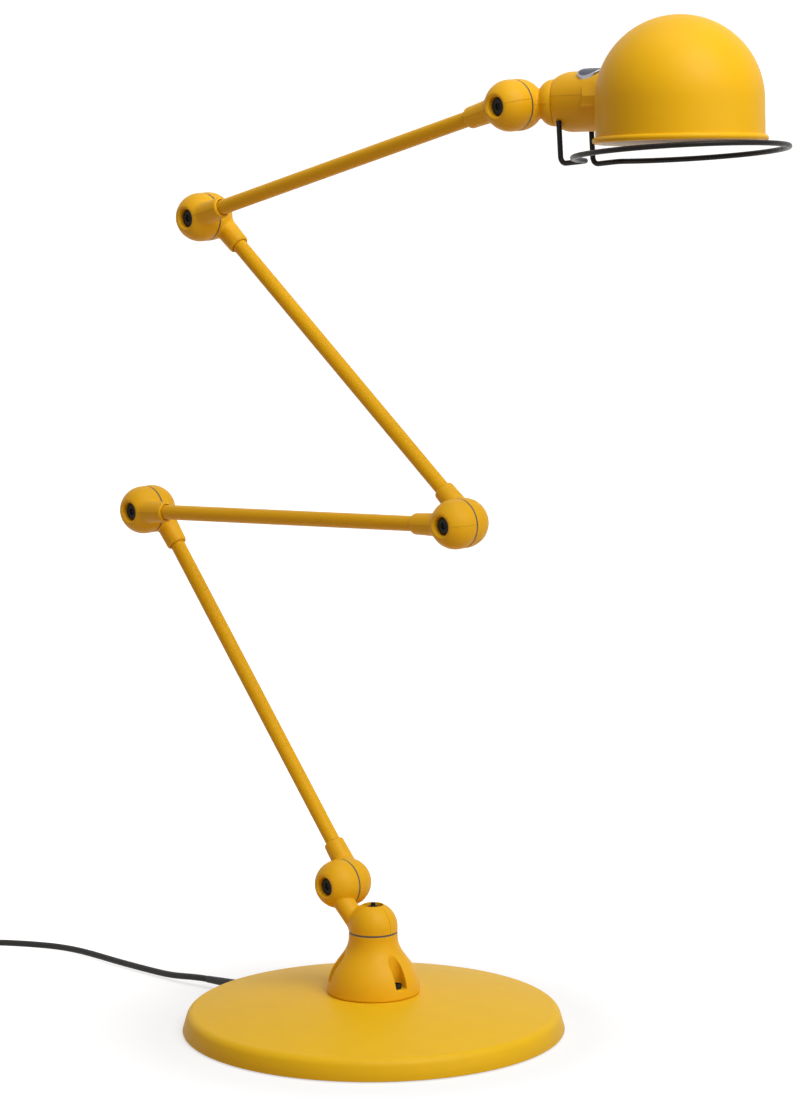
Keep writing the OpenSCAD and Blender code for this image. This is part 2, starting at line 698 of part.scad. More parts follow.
// Swivel dome with the stub arm and the near half of the first ball
module swivel_dome() {
    color(paint) difference() {
        union() {
            translate([0, 0, dome_z]) cylinder(d = dome_d, h = dome_side_h);
            intersection() {
                translate([0, 0, dome_ball_z]) sphere(d = dome_d);
                translate([0, 0, dome_ball_z]) cylinder(d = 2 * dome_d, h = dome_top_z - dome_ball_z);
            }
            translate(joint_1) on_side(-1) half_ball_body();
            intersection() {
                translate(joint_1 - [0, boss_offset, 0]) rotate([0, 180 - stub_angle, 0])
                    rotate([0, 0, stub_turn]) along_x() cylinder(d = stub_d, h = 2 * joint_1_rise);
                translate([-3 * dome_d, -dome_d / 2, dome_z]) cube([3 * dome_d, dome_d, 2 * joint_1_rise]);
            }
        }
        translate(joint_1 - [0, seam_half, 0]) along_y() cylinder(r = ball_d / 2 + sweep_clear, h = ball_d);
        translate([0, 0, dome_recess_z]) cylinder(d = dome_recess_d, h = dome_d);
        translate([0, 0, dome_z - cut]) cylinder(d = swivel_bolt_d + 2 * run_clear, h = dome_d);
        translate([0, 0, dome_z - cut]) cylinder(d = swivel_seat_d + 2 * fit_clear, h = disc_seat + cut);
        translate(joint_1) on_side(-1) half_ball_cuts();
    }
}

module joint_1_disc() { at_joint(1, 0) contact_disc(-1); }
module joint_1_bolt() { at_joint(1, 0) joint_bolt(); }
module joint_1_nut() { at_joint(1, 0) joint_nut(); }
module joint_1_spring() { at_joint(1, 0) joint_spring(); }

// Places a piece on the neck's cup, with Z along the head's swivel axis and zero at its seam
module at_cup() {
    at_joint(5, neck_angle) translate([0, neck_offset, 0]) rotate([0, 0, neck_turn]) along_x()
        translate([0, 0, neck_len]) children();
}

// Places a piece on the housing, with X along its axis and zero where its round back begins
module at_housing() {
    at_joint(5, neck_angle) translate([0, neck_offset, 0]) rotate([0, 0, neck_turn])
        translate([neck_len + housing_set, 0, 0]) rotate([0, 0, -neck_turn]) rotate([head_roll, 0, 0])
            children();
}

// Places a piece on the shade's axis, with zero where its dome begins
module at_shade() {
    at_housing() translate([shade_reach, 0, -shade_drop]) rotate([0, -shade_tilt, 0]) children();
}

// Places a piece on the ring guard's axis
module at_ring() { at_housing() translate([ring_x, 0, 0]) rotate([0, -ring_tilt, 0]) children(); }

// Neck: the far half of the fifth ball with the round cup that carries the head
module neck() {
    color(paint) difference() {
        union() {
            at_joint(5, neck_angle) half_ball_body();
            at_cup() translate([0, 0, -neck_len]) rotate_extrude() polygon(concat(
                [[0, 0], [cup_r - cup_round, 0]],
                [for (p = arc([neck_len - 1, cup_r - cup_round], cup_round, 180, 90, 12)) [p[1], p[0]]],
                [[cup_r, neck_len], [0, neck_len]]));
        }
        at_joint(5, neck_angle) half_ball_cuts();
        at_cup() translate([0, 0, -neck_tube_sink]) cylinder(d = neck_tube_d + 2 * fit_clear, h = neck_len);
        at_cup() translate([0, 0, -neck_tube_sink - wire_way_d]) cylinder(d = wire_way_d, h = neck_len);
    }
}

// Contact disc on the neck's half of the fifth ball
module neck_disc() { at_joint(5, 0) contact_disc(1); }

// Hollow tube in the neck, with the collar that holds the head and lets it turn
module neck_tube() {
    collar_z = rear_wall + tube_collar_gap;
    color(steel) at_cup() difference() {
        union() {
            translate([0, 0, -neck_tube_sink])
                cylinder(d = neck_tube_d, h = neck_tube_sink + collar_z + collar_h);
            translate([0, 0, collar_z]) cylinder(d = collar_d, h = collar_h);
        }
        translate([0, 0, -neck_tube_sink - cut]) cylinder(d = neck_tube_d - 3, h = 2 * neck_len);
    }
}

// Solid outer shape of the shade, grown all over by a margin
module shade_envelope(margin) {
    intersection() {
        sphere(r = shade_r + margin);
        cylinder(r = 2 * shade_r, h = 2 * shade_r);
    }
    translate([0, 0, -skirt_h]) cylinder(r = shade_r + margin, h = skirt_h);
}

// Lamp housing: a cylinder with a round back, cut square to the swivel axis, and a lug on both sides
module housing() {
    color(paint) difference() {
        union() {
            at_housing() sphere(d = housing_d);
            at_housing() along_x() cylinder(d = housing_d, h = shade_reach);
            at_housing() for (turn = [0, 180]) rotate([housing_turn + turn, 0, 0]) housing_lug();
        }
        at_cup() translate([0, 0, head_gap - housing_d]) cylinder(d = 2 * housing_d, h = housing_d);
        at_cup() cylinder(d = neck_tube_d + 2 * run_clear, h = housing_d / 2);
        at_cup() translate([0, 0, rear_wall]) cylinder(d = collar_d + 4 * lay_clear, h = housing_set);
        at_housing() translate([lampholder_back, 0, 0]) along_x()
            cylinder(d = housing_bore_d, h = shade_reach);
        at_shade() shade_envelope(fit_clear);
        at_ring() for (side = [-1, 1]) translate([leg_x, side * leg_half, -housing_d])
            cylinder(d = wire_d + 2 * fit_clear, h = housing_d - leg_end_z);
    }
}

// Lug on the near side of the housing, with a ridge along its middle and a lip below
module housing_lug() {
    out = housing_r + lug_proud;
    lip = 0.8;
    translate([shade_back - lug_len, 0, 0]) rotate([90, 0, 90]) linear_extrude(lug_len + housing_r) polygon([
        [-housing_r / 2, lug_h / 2], [-housing_r, lug_h / 2], [-out, 0], [lip - out, lip - lug_h / 2],
        [-out, lip - lug_h / 2], [-out, -lug_h / 2], [-housing_r / 2, -lug_h / 2]]);
}

// Bare round plate on the housing, bent to its curve
module housing_plate() {
    seat_r = housing_r + fit_clear;
    color(slate) at_housing() rotate([plate_turn, 0, 0]) intersection() {
        along_x() difference() {
            cylinder(r = seat_r + plate_t, h = shade_reach);
            translate([0, 0, -cut]) cylinder(r = seat_r, h = shade_reach + 2 * cut);
        }
        translate([plate_x, 0, 0]) cylinder(d = plate_d, h = housing_d);
    }
}

// Shade: a spun dome with a straight skirt and a rolled bead, open below and behind
module shade() {
    color(paint) difference() {
        at_shade() union() {
            difference() {
                shade_envelope(0);
                sphere(r = shade_in_r);
                translate([0, 0, -skirt_h - cut]) cylinder(r = shade_in_r, h = skirt_h + cut);
            }
            translate([0, 0, -skirt_h]) rotate_extrude() translate([shade_r, 0]) circle(d = bead_d, $fn = 32);
        }
        at_housing() along_x() cylinder(d = shade_hole_d, h = shade_reach);
    }
}

// Ring nut inside the shade, which clamps it on the lampholder
module shade_ring() {
    color(white) at_housing() translate([ring_nut_x, 0, 0]) along_x() difference() {
        cylinder(d = ring_nut_d, h = ring_nut_h);
        translate([0, 0, -cut]) cylinder(d = shade_hole_d, h = ring_nut_h + 2 * cut);
    }
}

// Lampholder in the housing's bore
module lampholder() {
    color(white) at_housing() translate([lampholder_back + lay_clear, 0, 0]) along_x() difference() {
        cylinder(d = lampholder_d, h = lampholder_front - lampholder_back - lay_clear);
        translate([0, 0, bulb_cap_x - lampholder_back - lay_clear])
            cylinder(d = bulb_cap_d + 2 * fit_clear, h = shade_reach);
    }
}

// Screw cap of the bulb
module bulb_cap() {
    color(steel) at_housing() translate([bulb_cap_x + lay_clear, 0, 0]) along_x()
        cylinder(d = bulb_cap_d, h = lampholder_front - bulb_cap_x + 2);
}

// Glass of the bulb
module bulb_glass() {
    start = lampholder_front + lay_clear + 2;
    throat = bulb_cap_d / 2;
    color(white) at_housing() difference() {
        bulb_shape(start, throat, bulb_d / 2);
        bulb_shape(start - cut, throat - glass_t, bulb_d / 2 - glass_t);
    }
}

// Round bulb with a conical throat
module bulb_shape(start, throat, r) {
    join = 40;
    ball_start = bulb_x - r * cos(join);
    translate([bulb_x, 0, 0]) sphere(r = r);
    translate([start, 0, 0]) along_x() cylinder(r1 = throat, r2 = r * sin(join), h = ball_start - start);
}

// Wire ring guard: an open ring below the rim, with two legs that turn up into the housing
module ring_guard() {
    bend_side = leg_half + bend_r;
    bend_x = -sqrt((ring_r + bend_r) * (ring_r + bend_r) - bend_side * bend_side);
    open_angle = atan2(bend_side, -bend_x);
    ring_open = open_angle - atan2(bend_lap, ring_r);
    run_x = leg_x + bend_r;
    color(black) at_ring() translate([0, 0, ring_z]) {
        rotate(180 + ring_open) rotate_extrude(angle = 360 - 2 * ring_open)
            translate([ring_r, 0]) circle(d = wire_d, $fn = 24);
        for (side = [-1, 1]) on_side(side) {
            translate([bend_x, bend_side, 0]) rotate(-90) wire_bend(90 - open_angle);
            translate([run_x - bend_lap, leg_half, 0]) along_x()
                cylinder(d = wire_d, h = bend_x - run_x + 2 * bend_lap, $fn = 24);
            translate([run_x, leg_half, bend_r]) rotate([90, 0, 0]) rotate(180) wire_bend(90);
            translate([leg_x, leg_half, bend_r - bend_lap])
                cylinder(d = wire_d, h = -leg_end_z - ring_z - bend_r + bend_lap, $fn = 24);
        }
    }
}

// Bend of the wire, a little thicker than its straight stretches
module wire_bend(angle) {
    rotate_extrude(angle = angle) translate([bend_r, 0]) circle(d = wire_d + bend_swell, $fn = 24);
}

// Places a piece on the gland, with Z along it from its tip into the base
module at_gland() { translate(gland_tip + [0, 0, gland_z]) rotate(gland_turn) along_x() children(); }

// Tapered gland where the cord leaves the base
module cord_gland() {
    tip = gland_tip_d / 2;
    root = gland_d / 2;
    groove = 0.5;
    color(black) at_gland() difference() {
        union() {
            cylinder(r1 = tip, r2 = root, h = gland_len);
            translate([0, 0, gland_len]) cylinder(r = root, h = gland_root);
        }
        for (i = [1:5]) translate([0, 0, i * gland_len / 8]) rotate_extrude() translate([root, 0])
            square([2 * (root - tip) * (1 - i / 8) + 2 * groove, gland_len / 20], center = true);
    }
}

// Cord on the floor, from the gland to the switch
module cord_run() { color(black) swept_tube(cord_route, cord_d, cord_sides); }

// Rest of the cord, wound into a coil from the switch to the plug
module cord_coil() { color(black) swept_tube(coil_route, cord_d, coil_sides); }

// Tie round the coil's turns
module cord_tie() {
    slack = cord_d / 2 + lay_clear + 0.1;
    inner = coil_in_r - slack;
    outer = coil_out_r + slack;
    low = cord_z - slack;
    high = coil_top_z + slack;
    span = [outer - inner, high - low];
    color(black) translate(coil_middle) rotate(coil_start_angle + 90) translate([0, tie_w / 2, 0])
        rotate([90, 0, 0]) linear_extrude(tie_w) difference() {
            translate([inner - tie_t, low - tie_t]) square(span + [2 * tie_t, 2 * tie_t]);
            translate([inner, low]) square(span);
        }
}

// Places a piece on the switch, with X along it and zero at its middle
module at_switch() { translate((switch_start + switch_end) / 2) rotate(switch_turn) children(); }

// Outline of the switch from above, with round ends
module switch_outline(inset) {
    r = switch_w / 2 - inset;
    flat = switch_len - 2 * inset;
    intersection() {
        square([flat, 2 * r], center = true);
        union() {
            circle(r = switch_len / 2 - inset);
            square([flat - switch_w / 2, 2 * r], center = true);
        }
    }
}

// Lower half of the switch's case
module switch_base() {
    color(black) at_switch() linear_extrude(switch_split) switch_outline(0);
}

// Upper half of the switch's case, with the rocker's opening
module switch_cover() {
    color(black) at_switch() difference() {
        union() {
            translate([0, 0, switch_split]) linear_extrude(switch_h - switch_split - 2) switch_outline(0.4);
            translate([0, 0, switch_h - 2]) linear_extrude(2) switch_outline(2);
        }
        translate([0, 0, switch_h]) cube([rocker_len + 2 * rocker_clear, rocker_w + 2 * rocker_clear,
                                          2 * (switch_h - switch_split - 1)], center = true);
        translate([0, -switch_w / 4, rocker_z - rocker_deep / 2]) along_y()
            cylinder(d = rocker_pin_d + 2 * run_clear, h = switch_w / 2);
    }
}

// Rocker of the switch, with its pin
module switch_rocker() {
    pin_z = rocker_z - rocker_deep / 2;
    color(black) at_switch() {
        intersection() {
            translate([-rocker_len / 2, -rocker_w / 2, rocker_z - rocker_deep + 1])
                cube([rocker_len - 0.6, rocker_w, rocker_deep + 2]);
            translate([0, 0, pin_z]) along_y()
                cylinder(r = rocker_len / 2 - 0.3, h = switch_w, center = true);
        }
        translate([0, -switch_w / 4 + 1, pin_z]) along_y() cylinder(d = rocker_pin_d, h = switch_w / 2 - 2);
    }
}

// Places a piece on the plug, with Z along its axis and zero where the cord enters
module at_plug() { translate(coil_end) rotate([0, 90, atan2(coil_end_dir[1], coil_end_dir[0])]) children(); }

// Round plug that lies on the floor, with a tapered relief
module plug_body() {
    r = plug_d / 2;
    color(black) at_plug() rotate_extrude() polygon(concat(
        [[0, 0], [cord_d / 2 + 0.8, 0], [cord_d / 2 + 2.2, relief_len]],
        curve([0.45 * r, relief_len], [0.9 * r, relief_len + 1], [r, relief_len + 6],
              [r, relief_len + plug_len / 2], 10),
        [[r, relief_len + plug_len], [0, relief_len + plug_len]]));
}

// Pins of the plug
module plug_pins() {
    color(steel) at_plug() for (side = [-1, 1])
        translate([0, side * pin_pitch / 2, relief_len + plug_len]) cylinder(d = pin_d, h = pin_len);
}

base_disc();
base_felt();
pedestal();
pedestal_screws();
swivel_lower_disc();
swivel_bolt();
swivel_nut();
swivel_spring();
cord_gland();
cord_run();
cord_coil();
cord_tie();
switch_base();
switch_cover();
switch_rocker();
plug_body();
plug_pins();
swivel_dome();
swivel_upper_disc();
joint_1_disc();
joint_1_bolt();
joint_1_nut();
joint_1_spring();
arm_tube(1);  // arm_1_tube
arm_lower_half(1);  // arm_1_lower_half
arm_upper_half(1);  // arm_1_upper_half
arm_discs(1);  // arm_1_discs
arm_lead(1);  // arm_1_lead
arm_tube(2);  // arm_2_tube
arm_lower_half(2);  // arm_2_lower_half
arm_upper_half(2);  // arm_2_upper_half
arm_discs(2);  // arm_2_discs
arm_lead(2);  // arm_2_lead
arm_bolts(2);  // arm_2_bolts
arm_nuts(2);  // arm_2_nuts
arm_springs(2);  // arm_2_springs
arm_tube(3);  // arm_3_tube
arm_lower_half(3);  // arm_3_lower_half
arm_upper_half(3);  // arm_3_upper_half
arm_discs(3);  // arm_3_discs
arm_lead(3);  // arm_3_lead
arm_tube(4);  // arm_4_tube
arm_lower_half(4);  // arm_4_lower_half
arm_upper_half(4);  // arm_4_upper_half
arm_discs(4);  // arm_4_discs
arm_lead(4);  // arm_4_lead
arm_bolts(4);  // arm_4_bolts
arm_nuts(4);  // arm_4_nuts
arm_springs(4);  // arm_4_springs
neck();
neck_disc();
neck_tube();
housing();
housing_plate();
shade();
shade_ring();
ring_guard();
lampholder();
bulb_cap();
bulb_glass();
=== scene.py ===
"""Visual model of an articulated floor lamp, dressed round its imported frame.

Lengths are millimetres until a mesh is made, except in the materials, the floor and the lights.
"""
import math

import bpy
import numpy as np
from mathutils import Matrix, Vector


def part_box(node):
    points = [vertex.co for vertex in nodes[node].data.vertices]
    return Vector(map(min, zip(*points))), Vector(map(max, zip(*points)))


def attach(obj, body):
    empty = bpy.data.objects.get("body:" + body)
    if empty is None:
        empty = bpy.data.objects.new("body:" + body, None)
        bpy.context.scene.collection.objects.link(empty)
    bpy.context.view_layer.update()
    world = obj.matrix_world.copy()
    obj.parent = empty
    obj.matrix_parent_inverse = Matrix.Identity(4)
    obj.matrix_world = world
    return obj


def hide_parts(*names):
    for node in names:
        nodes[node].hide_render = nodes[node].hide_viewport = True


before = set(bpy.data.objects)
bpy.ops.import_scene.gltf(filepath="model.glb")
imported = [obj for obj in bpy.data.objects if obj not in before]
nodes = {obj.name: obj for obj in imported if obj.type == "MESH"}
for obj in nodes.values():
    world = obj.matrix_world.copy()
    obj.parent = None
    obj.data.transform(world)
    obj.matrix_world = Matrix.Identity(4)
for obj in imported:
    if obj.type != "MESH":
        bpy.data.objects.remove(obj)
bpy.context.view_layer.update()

scene = bpy.context.scene
MM = 0.001
FIT = 0.05

# Base: its foot, felt, rounded edge and the low cap of its top
BASE_R = 127.5
BASE_FOOT = 0.4
BASE_CHAMFER = 0.8
FELT_R = 119.5
FELT_T = 1.5
FELT_LAP = 8.0
FELT_GAP = 0.1
EDGE_R = 6.5
EDGE_MID_R = 118.7
EDGE_MID_Z = 8.3
BASE_RISE = 12.1
BASE_TOP = EDGE_MID_Z + EDGE_R + BASE_RISE
CAP_R = (EDGE_MID_R ** 2 + BASE_RISE ** 2) / (2 * BASE_RISE)
EDGE_END = 86
EDGE_STEPS = 14
TOP_STEPS = 40
BASE_SIDES = 256

# Bell-shaped pedestal with three screw pockets
FOOT_R = 31.0
BELL_H = 40.6
BELL_SWELL = 0.52
BELL_WAIST = 0.34
WAIST_FLARE = 1.0
NECK_H = 3.5
FOOT_Z = BASE_TOP - FOOT_R ** 2 / 2 / CAP_R
BELL_TOP = FOOT_Z + BELL_H
POCKETS = 3
SLOT_W = 9.0
SLOT_BACK = 19.0
SLOT_FLOOR = 7.0
SLOT_TURN = -6.0
SCREW_RING = 24.5

# Swivel dome and its stub arm
SEAM = 0.6
DOME_R = 16.3
DOME_SIDE = 3.0
DOME_RECESS_R = 6.6
DOME_RECESS_H = 6.0
DOME_Z = BELL_TOP + 2 * SEAM
DOME_MID = DOME_Z + DOME_SIDE
DOME_TOP = DOME_MID + math.sqrt(DOME_R ** 2 - DOME_RECESS_R ** 2)
STUB_R = 7.0
STUB_ANGLE = 129.0
STUB_TURN = 9.0
STUB_LEN = 44.0
STUB_FLOOR = 0.6
FIRST_JOINT_X = -28.4
FIRST_JOINT_RISE = 27.6

# Ball joints: half-balls with a screw recess
BALL_R = 16.25
STRAIGHT = 3.8
LIP_CUT = 2.2
LIP_Y = STRAIGHT + BALL_R - LIP_CUT
RECESS_R = 6.2
CHAMFER = 1.2
SEAT_Y = 9.5
SWEEP_GAP = 0.4

# Arms: a tube between two half-balls with bosses
BOSS_R = 6.95
BOSS_DRAFT = 0.7
BOSS_START = 7.0
BOSS_REACH = 30.5
BOSS_CHAMFER = 1.1
BOSS_Y = 9.8
SOCKET_START = 17.75
SOCKET_MOUTH = 0.7
SOCKET_STEP = 2.5
SOCKET_GAP = 0.5
TUBE_R = 5.0
TUBE_GAP = 0.3
ARM_LEN = 300.0
ARM_ANGLES = (129.3, 4.5, 142.6, 17.1)
ARMS = range(1, len(ARM_ANGLES) + 1)

# Neck, housing with its lugs, and plate
NECK_ANGLE = 4.4
NECK_TURN = 27.5
NECK_OFFSET = 8.0
NECK_LEN = 21.5
CUP_R = 14.7
CUP_ROUND = 9.0
CUP_LIP = 1.0
HEAD_ROLL = -4.2
HEAD_GAP = 0.15
HOUSING_R = 18.85
HOUSING_TURN = -6.0
LUG_LEN = 13.0
LUG_H = 13.0
LUG_PROUD = 3.0
LUG_LIP = 0.8
PLATE_R = 9.0
PLATE_X = 20.0
PLATE_TURN = 18.0
PLATE_T = 1.6
PLATE_SIDES = 96

# Shade and ring guard
SHADE_R = 52.0
SHADE_WALL = 1.2
SKIRT = 24.2
BEAD_R = 2.0
BEAD_START = 60
BEAD_END = -210
SHADE_REACH = 87.8
SHADE_DROP = 1.4
SHADE_TILT = 1.0
SHADE_SIDES = 160
WHITE_BEAD_RINGS = 9
WIRE_R = 1.7
RING_R = 66.2
RING_BACK = 1.2
RING_TILT = 3.6
RING_DROP = 7.8
LEG_HALF = 14.8
LEG_SUNK = 5.0
BEND_R = 4.4

# Cord, gland, switch, coil and plug
CORD_R = 2.2
CORD_Z = 3.2
GLAND_Z = 6.2
GLAND_LEN = 30.5
GLAND_TURN = 10.0
GLAND_WALL = 0.2
GLAND_LIP = 0.3
GLAND_SPREAD = 1.0
GLAND_SUNK = 10.0
SWITCH_AT = (-203.0, -38.0, 0.0)
SWITCH_LEN = 58.0
SWITCH_W = 24.0
COIL_IN = 18.2
COIL_PITCH = 5.6
COIL_CLEAR = 2.0
LAYERS = 4
LAYER_TURNS = 1.963
LAYER_H = 5.4
TURN_STEPS = 36
RELIEF = 14.0
PLUG_CLEAR = 1.0

# Softness of the castings' edges: the width over which two forms blend
LIP_ROUND = 0.8
RECESS_ROUND = 0.6
SEAM_ROUND = 0.45
BOSS_FILLET = 1.8
BOSS_END_ROUND = 0.3
BOSS_CHAMFER_ROUND = 0.5
SOCKET_ROUND = 0.2
STUB_FILLET = 1.6
BALL_CREASE = 0.6
CUP_FILLET = 2.0
NECK_FILLET = 2.2
CUP_EDGE = 0.4
LUG_EDGE = 0.15
LUG_CREASE = 0.25
HOUSING_EDGE = 0.5
SHADE_FIT_EDGE = 0.15
FOOT_ROUND = 1.4
FOOT_SUNK = 0.2
POCKET_FLOOR_ROUND = 0.5
POCKET_EDGE = 0.6


# Places and turns
def turn(axis, degrees):
    i, j = {"x": (1, 2), "y": (2, 0), "z": (0, 1)}[axis]
    a = math.radians(degrees)
    m = np.eye(4)
    m[i, i] = m[j, j] = math.cos(a)
    m[i, j] = -math.sin(a)
    m[j, i] = math.sin(a)
    return m


def shift(x, y, z):
    m = np.eye(4)
    m[:3, 3] = x, y, z
    return m


def put(m, points):
    return np.asarray(points, float) @ m[:3, :3].T + m[:3, 3]


def along(angle, length):
    a = math.radians(angle)
    return np.array([length * math.cos(a), 0, length * math.sin(a)])


ALONG_X = turn("y", 90)
ALONG_Y = turn("x", -90)
FAR_SIDE = np.eye(4)
NEAR_SIDE = np.diag([1.0, -1.0, 1.0, 1.0])

joints = [np.array([FIRST_JOINT_X, 0, DOME_Z + FIRST_JOINT_RISE])]
for angle in ARM_ANGLES:
    joints.append(joints[-1] + along(angle, ARM_LEN))


def at_joint(index, angle):
    return shift(*joints[index - 1]) @ turn("y", -angle)


def arm_ends(arm):
    """Places of an arm's two castings: on the far side for odd arms, on the near side for even ones."""
    side = FAR_SIDE if arm % 2 else NEAR_SIDE
    angle = ARM_ANGLES[arm - 1]
    return at_joint(arm, angle) @ side, at_joint(arm + 1, angle + 180) @ side


housing_set = math.sqrt(HOUSING_R ** 2 - CUP_R ** 2)
at_neck = at_joint(5, NECK_ANGLE)
neck_axis = at_neck @ shift(0, NECK_OFFSET, 0) @ turn("z", NECK_TURN)
at_cup = neck_axis @ ALONG_X @ shift(0, 0, NECK_LEN)
at_housing = neck_axis @ shift(NECK_LEN + housing_set, 0, 0) @ turn("z", -NECK_TURN) @ turn("x", HEAD_ROLL)
at_shade = at_housing @ shift(SHADE_REACH, 0, -SHADE_DROP) @ turn("y", -SHADE_TILT)
ring_x = SHADE_REACH - RING_BACK
ring_z = -SHADE_DROP - SKIRT - RING_DROP
at_ring = at_housing @ shift(ring_x, 0, 0) @ turn("y", -RING_TILT) @ shift(0, 0, ring_z)

# Camera at the photograph's place
CAMERA_PLACE = (2084.0, -2067.3, 822.5)
CAMERA_YAW = 44.81
CAMERA_PITCH = -9.63
CAMERA_ROLL = -0.24
CAMERA_LENS = 99.046
SENSOR_HEIGHT = 24.0
CLIP_END = 100.0


def make_camera():
    yaw = math.radians(CAMERA_YAW)
    pitch = math.radians(CAMERA_PITCH)
    roll = math.radians(CAMERA_ROLL)
    ahead = np.array([-math.sin(yaw) * math.cos(pitch), math.cos(yaw) * math.cos(pitch), math.sin(pitch)])
    right = np.array([math.cos(yaw), math.sin(yaw), 0])
    up = np.cross(right, ahead)
    m = np.eye(4)
    m[:3, 0] = math.cos(roll) * right + math.sin(roll) * up
    m[:3, 1] = math.cos(roll) * up - math.sin(roll) * right
    m[:3, 2] = -ahead
    m[:3, 3] = np.array(CAMERA_PLACE) * MM
    data = bpy.data.cameras.new("camera")
    data.sensor_fit = "VERTICAL"
    data.sensor_height = SENSOR_HEIGHT
    data.lens = CAMERA_LENS
    data.clip_end = CLIP_END
    camera = bpy.data.objects.new("camera", data)
    camera.matrix_world = Matrix(m.tolist())
    scene.collection.objects.link(camera)
    scene.camera = camera


make_camera()


# Materials
def shader(name):
    mat = bpy.data.materials.new(name)
    mat.use_nodes = True
    tree = mat.node_tree
    return mat, tree, tree.nodes["Principled BSDF"], tree.nodes.new("ShaderNodeTexCoord")


def noise(tree, coords, scale, detail=2.0, rough=0.5):
    node = tree.nodes.new("ShaderNodeTexNoise")
    node.inputs["Scale"].default_value = scale
    node.inputs["Detail"].default_value = detail
    node.inputs["Roughness"].default_value = rough
    tree.links.new(coords.outputs["Object"], node.inputs["Vector"])
    return node.outputs["Fac"]


def ranged(tree, value, low, high, start=0.3, end=0.7):
    node = tree.nodes.new("ShaderNodeMapRange")
    for key, number in (("From Min", start), ("From Max", end), ("To Min", low), ("To Max", high)):
        node.inputs[key].default_value = number
    tree.links.new(value, node.inputs["Value"])
    return node.outputs["Result"]


def two_tone(tree, factor, first, second):
    node = tree.nodes.new("ShaderNodeMix")
    node.data_type = "RGBA"
    node.inputs["A"].default_value = (*first, 1)
    node.inputs["B"].default_value = (*second, 1)
    tree.links.new(factor, node.inputs["Factor"])
    return node.outputs["Result"]


def bumped(tree, height, strength, distance, under=None):
    node = tree.nodes.new("ShaderNodeBump")
    node.inputs["Strength"].default_value = strength
    node.inputs["Distance"].default_value = distance
    tree.links.new(height, node.inputs["Height"])
    if under is not None:
        tree.links.new(under, node.inputs["Normal"])
    return node.outputs["Normal"]


def finish(name, colour, rough, metal=0.0, spec=0.5, tone=0.06, tone_scale=60.0, rough_range=0.08,
           rough_scale=220.0, grains=((1500.0, 0.3, 0.00015),)):
    """A painted, moulded or metal surface: colour and roughness change slightly, and grain roughens it.

    Each grain is its scale, its strength and its height in metres.
    """
    mat, tree, bsdf, coords = shader(name)
    dark = tuple(c * (1 - tone) for c in colour)
    light = tuple(min(1, c * (1 + tone)) for c in colour)
    tree.links.new(two_tone(tree, ranged(tree, noise(tree, coords, tone_scale), 0, 1), dark, light),
                   bsdf.inputs["Base Color"])
    tree.links.new(ranged(tree, noise(tree, coords, rough_scale), rough - rough_range, rough + rough_range),
                   bsdf.inputs["Roughness"])
    bsdf.inputs["Metallic"].default_value = metal
    bsdf.inputs["Specular IOR Level"].default_value = spec
    normal = None
    for scale, strength, distance in grains:
        normal = bumped(tree, noise(tree, coords, scale), strength, distance, normal)
    if normal is not None:
        tree.links.new(normal, bsdf.inputs["Normal"])
    return mat


SAND = ((800.0, 0.17, 0.0002), (2100.0, 0.22, 0.0001))
POWDER = {"tone": 0.012, "rough_range": 0.03, "grains": SAND}
YELLOW = (0.86, 0.472, 0.005)
# Shade and base: greener copies of the one yellow, painted light on bright surfaces, plus painted sheen on
# the base
SHADE_LIT_YELLOW = (0.86, 0.495, 0.007)
BASE_LIT_YELLOW = (0.87, 0.540, 0.009)
# The parting lines' yellow is the paint's yellow darkened: painted shade along each line's small step
SHADOWED_LINE_COLOUR = tuple(0.72 * c for c in YELLOW)
paint = finish("powder_coat", YELLOW, 0.46, spec=0.16, **POWDER)
cast_paint = finish("powder_coat_castings", YELLOW, 0.5, spec=0.26, **POWDER)
shade_sheet_lit = finish("shade_powder_coat_painted_light", SHADE_LIT_YELLOW, 0.44, spec=0.18, **POWDER)
base_coat_lit = finish("base_powder_coat_painted_light", BASE_LIT_YELLOW, 0.5, spec=0.22, **POWDER)
line_shadow_paint = finish("parting_line_powder_coat_painted_shade", SHADOWED_LINE_COLOUR, 0.5, spec=0.25, grains=SAND)
white_inside = finish("white_enamel", (0.82, 0.82, 0.80), 0.5, spec=0.3, tone=0.02)
disc_grey = finish("sintered_disc", (0.115, 0.104, 0.086), 0.5, metal=0.2, grains=((2600.0, 0.3, 0.0001),))
# Its black leans warm: a painted reflection of the yellow casting round the fasteners
black_steel = finish("blackened_steel", (0.011, 0.010, 0.008), 0.5, spec=0.16, tone=0.2,
                     grains=((1800.0, 0.2, 0.00008),))
black_wire = finish("black_wire_coat", (0.007, 0.006, 0.005), 0.36, spec=0.16, tone=0.15,
                    grains=((1200.0, 0.12, 0.0001),))
spring_steel = finish("spring_steel", (0.55, 0.55, 0.56), 0.35, metal=1.0, grains=((3000.0, 0.2, 0.00005),))
felt = finish("felt", (0.03, 0.03, 0.032), 0.95, spec=0.1, tone=0.3, tone_scale=700.0,
              grains=((1800.0, 0.9, 0.0005), (5000.0, 0.6, 0.0003)))
cord_black = finish("cord_sheath", (0.020, 0.020, 0.019), 0.55, spec=0.3, tone=0.15,
                    grains=((1600.0, 0.2, 0.0001),))
black_plastic = finish("black_plastic", (0.022, 0.022, 0.023), 0.5, spec=0.4, tone=0.15,
                       grains=((2200.0, 0.35, 0.0001),))
nickel = finish("nickel", (0.62, 0.60, 0.56), 0.25, metal=1.0, grains=((900.0, 0.08, 0.00005),))
brass = finish("brass", (0.72, 0.52, 0.22), 0.28, metal=1.0, grains=((1500.0, 0.1, 0.00005),))
